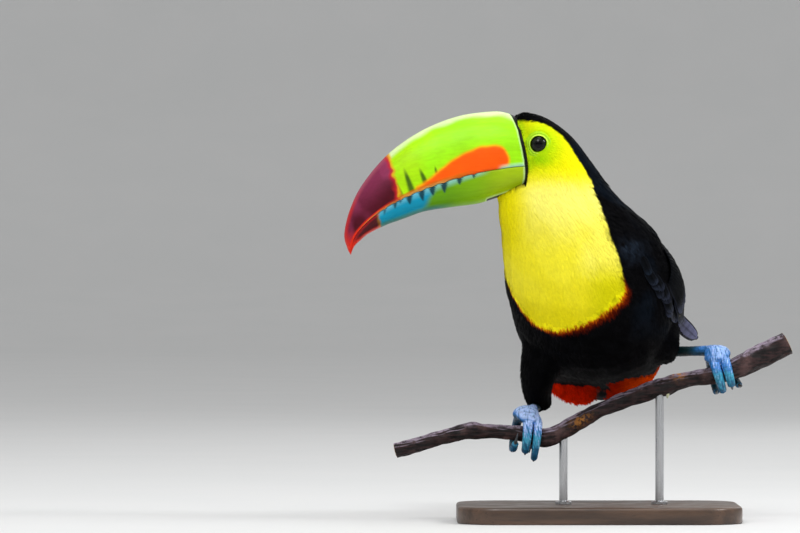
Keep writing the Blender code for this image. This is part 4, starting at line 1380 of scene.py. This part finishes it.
def make_wing(side, right):
    """Folded: the long feathers low at the tip, and shorter rows over them towards the bend."""
    # the feathers' edges and tips carry a painted bluish sheen
    made = []
    for k in range(7):  # primaries, their tips stepping back from the wing's tip
        share = k / 6
        made.append((0.5 + 0.02 * k, 0.16 + 0.1 * share, 0.98 - 0.04 * k, 0.42 - 0.2 * share, 5.6,
                     0.15, 0.5 + 0.14 * k, 0.7, PRIMARY_GREY, PRIMARY_TIP_SHEEN))
    for k in range(11):  # secondaries and the inner feathers that close over the back
        share = k / 10
        made.append((0.3 + 0.01 * k, 0.12 + 0.8 * share, 0.88 - 0.12 * share - 0.03 * (k % 2),
                     0.24 + 0.64 * share, 6.6, 0.2, 1.3 + 0.1 * (k % 3), 0.8, WING_BLACK,
                     LOW_EDGE_SHEEN if k < 3 else COVERT_EDGE_SHEEN))
    for k in range(13):  # greater coverts
        share = k / 12
        made.append((0.2 + 0.03 * share, 0.02 + 0.95 * share, 0.6 - 0.06 * share - 0.13 * 0.4**k,
                     0.06 + 0.9 * share, 5.2, 0.3, 1.7 + 0.1 * (k % 2), 0.75, WING_BLACK,
                     LOW_EDGE_SHEEN if k < 4 else COVERT_EDGE_SHEEN))
    for k in range(14):  # median coverts
        share = k / 13
        made.append((0.12, 0.02 + 0.95 * share, 0.36 - 0.03 * share, 0.04 + 0.93 * share, 4.4, 0.5, 1.9, 0.7,
                     WING_BLACK, LOW_EDGE_SHEEN if k < 4 else COVERT_EDGE_SHEEN))
    vanes("wing_feathers_" + side, wing_surface(right), made)


make_wing("left", False)
make_wing("right", True)

# The near wing's longest feathers, turned face on: x, y, z of their roots and of their tips.
BLADE_LINE = ((50.5, -24, 149.5), (56.5, -4, 144), (62.5, 30, 138.6), (74.6, 82, 128.6))
BLADE_SIDE = (0.63, 0, 0.78)
# The lower edge of the folded wing over the flank, from the shoulder down: x, z.
WING_LINE = ((27, 186), (33, 176), (39, 167), (44.5, 158), (49.5, 148.5), (54, 141))
IN_FRONT = -200  # a Y in front of the whole bird


def blade_surface():
    """The sheet on which the tip's feathers lie."""
    line = through(BLADE_LINE, 80)
    ways = unit(np.gradient(line, axis=0))
    sides = across(np.array(BLADE_SIDE, float) + ways * 0, ways)
    ups = np.cross(ways, sides)

    def place_at(s, v, lift):
        spot, low = row_at(line, s)
        return spot + sides[low] * v[..., None] + ups[low] * lift[..., None]

    return place_at, in_millimetres


def flank_surface():
    """The skin along the wing's lower edge."""
    line = through(WING_LINE, 60)
    ways = unit(np.gradient(line, axis=0))

    def place_at(s, v, lift):
        spot, low = row_at(line, s)
        spot = spot + np.stack([-ways[low][..., 1], ways[low][..., 0]], -1) * v[..., None]
        made = np.zeros((*np.shape(s), 3))
        for index in np.ndindex(np.shape(s)):
            start = Vector((spot[index][0], IN_FRONT, spot[index][1]))
            hit, normal, _, _ = SKIN_TREE.ray_cast(start, Vector((0, 1, 0)))
            made[index] = np.array(hit) + np.array(normal) * lift[index]
        return made

    return place_at, in_millimetres


def make_wing_edge():
    """The row of feathers along the near wing's lower edge, their edges in a painted bluish sheen, and the blade
    at its tip, in a painted lavender sheen.
    """
    made = []
    for k in range(12):
        share = k / 11
        # each edge is a painted bluish sheen
        edge = blend(np.array(SLATE_SHEEN) * 0.5, LOW_EDGE_SHEEN, share) * rng.uniform(0.45, 1.2)
        start = 0.066 * k + rng.uniform(-0.02, 0.02)
        made.append((start, rng.uniform(-0.5, 2.2), min(start + rng.uniform(0.2, 0.3), 0.99),
                     rng.uniform(-2.8, 0.4), rng.uniform(2.5, 3.8), 1.0, 2.2 + 0.2 * (k % 3), 0.7,
                     WING_BLACK, edge))
    vanes("wing_edge_left", flank_surface(), made)
    # the blade: a painted lavender sheen on the longest feathers
    made = [(0.0, -2.0, 1.0, -1.0, 5.8, 0.0, 0.0, 0.72, WING_BLACK, BLADE_DARK),
            (0.12, -1.6, 0.97, -0.6, 4.4, 0.5, 0.5, 0.72, np.array(BLADE_SHEEN) * 0.6, BLADE_SHEEN),
            (0.02, 1.0, 0.6, 1.4, 2.6, 0.9, 0.9, 0.7, WING_BLACK, PRIMARY_TIP_SHEEN),
            (0.0, 0.4, 0.3, 1.2, 1.9, 1.3, 1.4, 0.6, WING_BLACK, TAN_GREY)]
    vanes("wing_blade_left", blade_surface(), made)


make_wing_edge()


def make_tail():
    """The tail, and the soft feathers over and under its root."""
    made = []
    for j in range(4, -1, -1):  # from the outermost pair, lowest, to the middle pair on top
        for way in (-1, 1):
            # each tail feather's tip takes a painted bluish sheen
            made.append((0.05, way * (1.0 + 2.4 * j), 0.995 - 0.012 * j * j, way * (4.2 + 2.4 * j), 9.6,
                         1.2 - 0.6 * j + 0.1 * way, 0.55 - 0.33 * j + 0.1 * way, 0.86, BLACK, BLUE_SHEEN_BLACK))
    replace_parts(vanes("tail_feathers", tail_surface(), made), "tail")
    for name, way, colour, rows in (
            ("rump_coverts", 1, RUMP_WHITE, 3), ("undertail_coverts", -1, COVERT_RED, 4)):
        made = []
        for row in range(rows):
            for k in range(7):
                lateral = (k - 3) * (4.2 + 0.3 * row) + rng.uniform(-0.6, 0.6)
                start = 0.02 + 0.05 * (rows - 1 - row)
                pale = np.array(colour) * rng.uniform(0.85, 1.1)
                made.append((start, lateral, start + rng.uniform(0.15, 0.19), lateral * 1.08, 4.2,
                             way * (6.2 + 0.5 * row - 0.22 * abs(lateral)), way * (3.2 + 0.5 * row), 0.6,
                             pale, pale * 1.05))
        vanes(name, tail_surface(), made, "soft")


make_tail()


# ---------------------------------------------------------------- legs, feet and claws

# a pale sky blue, painted highlight on the feet's tops
SKY_HIGHLIGHT = (0.42, 0.57, 0.92)
FOOT_BLUE = (0.03, 0.19, 0.56)
FOOT_CYAN = (0.03, 0.3, 0.46)
# deep blue: painted shade low on the feet and in the grooves, and dark streaks of the skin's own
FOOT_DEEP = (0.003, 0.09, 0.2)
# painted shade on faces turned in towards the branch
FOOT_SHADE_TEAL = (0.001, 0.045, 0.07)
# painted shade on the shanks under the body
SHANK_SHADE_TEAL = (0.0005, 0.022, 0.026)
CLAW_GREY, CLAW_DARK, CLAW_PALE = (0.05, 0.058, 0.07), (0.014, 0.016, 0.018), (0.1, 0.11, 0.12)
SCUTE_STEP = 2.3  # from one groove between scutes to the next
TOE_ROUND = 11.2  # how far the toes' skin lies from the branch's centreline
# The swell of each instep, over the branch: its centre, and its half sizes.
INSTEPS = {"left": (84.5, 0.5, 118.3), "right": (-51, 1.5, 75.6)}
INSTEP_HALVES = (9.2, 7.6, 6.2)
SHANK_FEATHERED = {"left": (49, 28), "right": (-39.5, 30)}  # where each bare shank begins: x, y
# Where each instep takes a painted highlight: between two heights over the branch and two places along X, and how
# pale it is there.
PALE = {"left": (5, 13, 76, 84, 0.0, 0.52), "right": (0.5, 8.5, -80, -70, 0.9, 1)}
TOES = ("inner_front", "outer_front", "inner_back", "outer_back")


def make_foot(side):
    """A leg's skin, melted from its shank, foot, toes and instep, with grooves between its scutes, and its
    claws."""
    nodes = ["shank_" + side, "foot_" + side] + [f"toe_{toe}_{side}" for toe in TOES]
    mesh = melted("leg_skin_" + side, nodes, 0.42, 12, -0.35, grow=0.25, swell=(INSTEPS[side], INSTEP_HALVES))
    points, normals = mesh_arrays(mesh)
    pad_low, pad_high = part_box("foot_" + side)
    middle_x = (pad_low.x + pad_high.x) / 2 / MM
    line = through([s[:3] for s in BRANCH], 400)
    i = np.abs(line[:, 0] - middle_x).argmin()
    centre, along = line[i], unit(line[i + 1] - line[i - 1])
    off = points - centre
    off = off - (off @ along)[:, None] * along
    up = unit(np.array([0, 0, 1.0]) - along * along[2])
    turn = np.arctan2(off @ np.cross(up, along), off @ up)
    facing = (unit(off) * normals).sum(1)
    on_shank = smooth(7.5, 10.5, points[:, 1]) * (norm(off, axis=1) > 8)
    along_scutes = np.where(on_shank > 0.5, points[:, 1], turn * TOE_ROUND)
    phase = np.abs((along_scutes / SCUTE_STEP) % 1 - 0.5) * 2
    groove = smooth(0.72, 0.98, phase) * smooth(-0.1, 0.5, facing) * smooth(-0.5, 0.4, wobble(points, 3.2, 52))
    points = points + normals * (0.05 * wobble(points, 1.6, 12) - 0.26 * groove)[:, None]
    height = off @ up + 1.6 * wobble(points, 4, 13)
    streak = wobble(points * (1.6, 0.5, 0.45), 2.2, 15)
    # painted shade: deep blue low under the branch
    tint = blend(FOOT_DEEP, FOOT_CYAN, smooth(-11, -3, height + 2.5 * streak))
    tint = blend(tint, FOOT_BLUE, smooth(-1, 5, height))
    low, high, start, end, least, most = PALE[side]
    pale = blend(least, most, smooth(start, end, points[:, 0] + 2.5 * streak))
    tint = painted(
        tint,
        # painted highlights: the tops pale, and pale streaks on the outward faces
        (SKY_HIGHLIGHT, smooth(low, high, height + 5.5 * streak) * smooth(0.0, 0.7, facing) * pale),
        (SKY_HIGHLIGHT, 0.55 * smooth(0.45, 1.0, streak) * smooth(0.3, 0.9, facing) * smooth(-9, -3, height)),
        (FOOT_DEEP, 0.6 * smooth(-0.4, -1.0, streak)),
        # painted shade on faces turned towards the branch and in the grooves between scutes
        (FOOT_SHADE_TEAL, smooth(0.25, -0.6, facing) * 0.9),
        (FOOT_DEEP, groove * 0.7))
    from_ankle = norm(points[:, :2] - SHANK_FEATHERED[side], axis=1)
    # painted shade: the bare shank dark teal near the feathers, turning deep blue further down
    tint = blend(tint, blend(SHANK_SHADE_TEAL, FOOT_DEEP, smooth(20, 32, from_ankle)), on_shank)
    foot = add_mesh("leg_skin_" + side, points, faces_of(mesh), LOOKS["leg"], tints=tint)
    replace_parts(foot, *nodes)
    claws = [f"claw_{toe}_{side}" for toe in TOES]
    mesh = melted("claws_" + side, claws, 0.3, 2, 0.0, grow=0.12)
    points, normals = mesh_arrays(mesh)
    below = centre[2] - points[:, 2]
    tint = blend(CLAW_GREY, CLAW_DARK, smooth(-2, 8, below))
    tint = blend(tint, CLAW_PALE, 0.4 * smooth(0.3, 1, wobble(points, 4, 14)))
    claw = add_mesh("claws_" + side, points, faces_of(mesh), LOOKS["claw"], tints=tint)
    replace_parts(claw, *claws)


make_foot("left")
make_foot("right")


# ---------------------------------------------------------------- the perch and the stand

PERCH_ROWS, PERCH_COLUMNS = 420, 72
# Swellings on the bark: place along X, degrees round it, reach along and round, and rise.
KNOTS = ((-88, 10, 5, 50, 1.1), (-84, 190, 4, 40, 0.5), (-36, 150, 6, 60, 1.4), (-33, 60, 4, 40, 0.7),
         (18, 205, 5, 45, 0.8), (48, 170, 3.5, 35, 0.9), (57, 20, 6, 60, 0.5), (101, 30, 6, 60, 0.8),
         (118, 200, 5, 50, 0.7), (-118, 60, 4, 45, 0.6))


LICHEN = ((58, 20, 4.2, 42, 1), (-12, 90, 6, 40, 0.7))  # the same for its orange lichen
BUD_AT, BUD_OFF, BUD_PALE = 48.6, (0.6, -2.5, -6.0), (0.5, 0.5, 0.33)


def make_perch():
    """The branch with its bark, its two cut ends, and the pale bud under it."""
    path = through(BRANCH, PERCH_ROWS)
    centres, radii = path[:, :3], path[:, 3]
    ways = unit(np.gradient(centres, axis=0))
    depth = unit(np.cross(ways, (0, 1, 0)))
    front = unit(np.cross(depth, ways))
    turns = np.linspace(0, 2 * math.pi, PERCH_COLUMNS, endpoint=False)
    ring = front[:, None] * np.sin(-turns)[None, :, None] + depth[:, None] * np.cos(turns)[None, :, None]
    ring = ring * np.sign(depth[0, 2])
    length = np.concatenate([[0], norm(np.diff(centres, axis=0), axis=1).cumsum()])
    x = np.repeat(centres[:, :1], PERCH_COLUMNS, 1)
    on_bark = np.stack(np.broadcast_arrays(length[:, None] * 0.22, 6 * np.cos(turns), 6 * np.sin(turns)), -1)
    on_bark = on_bark.reshape(-1, 3)
    ridges = wobble(on_bark, 2.6, 21) * 0.22 + wobble(on_bark * (3, 1, 1), 6, 22) * 0.3
    split = smooth(0.55, 0.95, wobble(on_bark, 3.4, 23))
    degrees = np.tile(np.degrees(turns), (PERCH_ROWS, 1))

    def spot(at, round_at, reach, spread, rise):
        """A soft round spot of that height on the bark."""
        off = (degrees - round_at + 180) % 360 - 180
        return (rise * np.exp(-(((x - at) / reach) ** 2) - (off / spread) ** 2)).ravel()

    bark = ridges - 0.35 * split + sum(spot(*knot) for knot in KNOTS) - 0.25
    points = (centres[:, None] + ring * radii[:, None, None]).reshape(-1, 3)
    points = points + ring.reshape(-1, 3) * bark[:, None]
    lichen = np.maximum(*(spot(*patch) for patch in LICHEN))
    perch = add_mesh("branch", points, grid_faces(PERCH_ROWS, PERCH_COLUMNS, True), LOOKS["bark"],
                     values={"lichen": lichen, "crack": split})
    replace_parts(perch, "perch")
    for name, row, way in (("branch_cut_thin", 0, -1), ("branch_cut_thick", PERCH_ROWS - 1, 1)):
        rim = points.reshape(PERCH_ROWS, PERCH_COLUMNS, 3)[row]
        middle = rim.mean(0)
        shares = np.linspace(0.02, 1.0, 24)
        rows = [middle + (rim - middle) * share + ways[row] * way * 0.5 * (1 - share**6) for share in shares]
        rings = np.repeat(shares * radii[row], PERCH_COLUMNS) + 0.15 * wobble(np.concatenate(rows), 3, 24)
        faces = grid_faces(len(shares), PERCH_COLUMNS, True).tolist() + [list(range(PERCH_COLUMNS))[::-1]]
        if way > 0:
            faces = [face[::-1] for face in faces]
        add_mesh(name, np.concatenate(rows), faces, LOOKS["cut"], values={"ring": rings})
    bud_at = centres[np.abs(centres[:, 0] - BUD_AT).argmin()] + BUD_OFF
    profile = [(0.25, 1.2), (0.9, 0.6), (1.15, -0.4), (1.0, -1.5), (0.6, -2.6), (0.12, -3.5)]
    points = lathe(profile, bud_at, (0.15, 0, 1), 16)
    add_mesh("bud", points, [face[::-1] for face in capped(len(profile), 16)], LOOKS["soft"],
             tints=np.tile(BUD_PALE, (len(points), 1)))


make_perch()


def make_base():
    """The stand's base, with round corners and a rounded upper edge."""
    low, high = (np.array(corner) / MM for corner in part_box("stand_base"))
    corner, steps = 30.0, 20  # the corners' radius, and the steps round each
    # Insets and heights from the underside up over the rounded edge.
    profile = [(1.4, 0), (0.4, 0.4), (0, 1.2), (0, 9.6), (0.25, 10.7), (0.9, 11.6), (2.0, 12.0), (4.0, 12.0)]
    rows = []
    for inset, height in profile:
        row = []
        for quarter, (sx, sy) in enumerate(((1, 1), (-1, 1), (-1, -1), (1, -1))):
            for step in range(steps + 1):
                turn = math.radians(90 * (quarter + step / steps))
                row.append((sx * (high[0] - corner) + (corner - inset) * math.cos(turn),
                            sy * (high[1] - corner) + (corner - inset) * math.sin(turn), low[2] + height))
        rows.append(row)
    base = add_mesh("stand_plate", np.concatenate(rows), capped(len(rows), len(rows[0])), LOOKS["wood"])
    base.data.set_sharp_from_angle(angle=math.radians(40))
    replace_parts(base, "stand_base")


# Round each rod's foot, a collar: how far it stands out, and heights.
COLLAR = ((2.6, 0), (2.8, 0.25), (2.8, 1.6), (2.4, 2.0), (0.5, 2.2), (0, 2.6))
ROD_SUNK, ROD_COLUMNS = 0.3, 48


def make_rod(name):
    """One of the stand's rods with the collar at its foot."""
    low, high = (np.array(corner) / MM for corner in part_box(name))
    middle = (low + high) / 2
    radius = (high[0] - low[0]) / 2
    profile = [(radius + rise, height) for rise, height in COLLAR] + [(radius, high[2] - low[2])]
    foot = (middle[0], middle[1], low[2] - ROD_SUNK)
    rod = add_mesh(name + "_steel", lathe(profile, foot, (0, 0, 1), ROD_COLUMNS),
                   grid_faces(len(profile), ROD_COLUMNS, True), LOOKS["steel"])
    rod.data.set_sharp_from_angle(angle=math.radians(35))
    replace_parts(rod, name)


make_base()
make_rod("stand_rod_left")
make_rod("stand_rod_right")


# ---------------------------------------------------------------- the studio

def paper_colour(tree):
    return mixed(tree, noise(tree, 6, 3), (0.66, 0.67, 0.67), (0.7, 0.7, 0.7))


def make_studio():
    """A pale floor that curves up into a wall all round, beyond every camera."""
    profile = [(0.5, 0), (2, 0), (5, 0), (8, 0), (9.2, 0.15), (10.1, 0.6), (10.7, 1.4), (11, 2.4), (11, 3.2)]
    points = lathe(profile, (0, 0, 0), (0, 0, 1), 64)
    faces = grid_faces(len(profile), 64, True)[:, ::-1].tolist() + [list(range(64))]
    mesh = bpy.data.meshes.new("studio_floor")
    mesh.from_pydata(points, [], faces)
    mesh.shade_smooth()
    mesh.materials.append(principled("studio_paper", paper_colour, rough(0.8, 0.9, 5)))
    linked("studio_floor", mesh)


# Metres: the place the lamps face, and each lamp's name, place, size and watts.
LIT = (-0.02, 0, 0.19)
LAMPS = (("key", (-0.8, -2.1, 2.5), 1.5, 46), ("fill", (2.1, -1.2, 1.9), 0.6, 15),
         ("catch", (0.8, -0.28, 0.78), 0.4, 3.5), ("top", (0.0, -0.2, 2.6), 1.4, 16),
         ("back", (0.9, 2.0, 1.3), 1.2, 5))
CAMERA_AT, CAMERA_FAR, SEEN_WIDTH, SENSOR = (-0.140, -4.041, 0.180), 4.0, 0.56, 36


def lamp(name, place_at, size, power):
    light = bpy.data.lights.new(name, "AREA")
    light.shape = "DISK"
    light.size = size
    light.energy = power
    obj = linked(name, light)
    obj.location = place_at
    obj.rotation_euler = (Vector(LIT) - obj.location).to_track_quat("-Z", "Y").to_euler()


def make_lights():
    world = bpy.data.worlds.new("studio")
    bpy.context.scene.world = world
    world.use_nodes = True
    background = world.node_tree.nodes["Background"]
    background.inputs["Color"].default_value = (1, 1, 1, 1)
    background.inputs["Strength"].default_value = 0.6
    for settings in LAMPS:
        lamp(*settings)


def make_camera():
    """Level and far off, with the photo's framing."""
    data = bpy.data.cameras.new("camera")
    data.sensor_width = SENSOR
    data.lens = SENSOR * CAMERA_FAR / SEEN_WIDTH
    data.clip_start = 0.1
    data.clip_end = 60
    camera = linked("camera", data)
    camera.location = CAMERA_AT
    camera.rotation_euler = (math.radians(90), 0, 0)
    bpy.context.scene.camera = camera


make_studio()
make_lights()
make_camera()
bpy.context.scene.view_settings.view_transform = "Standard"
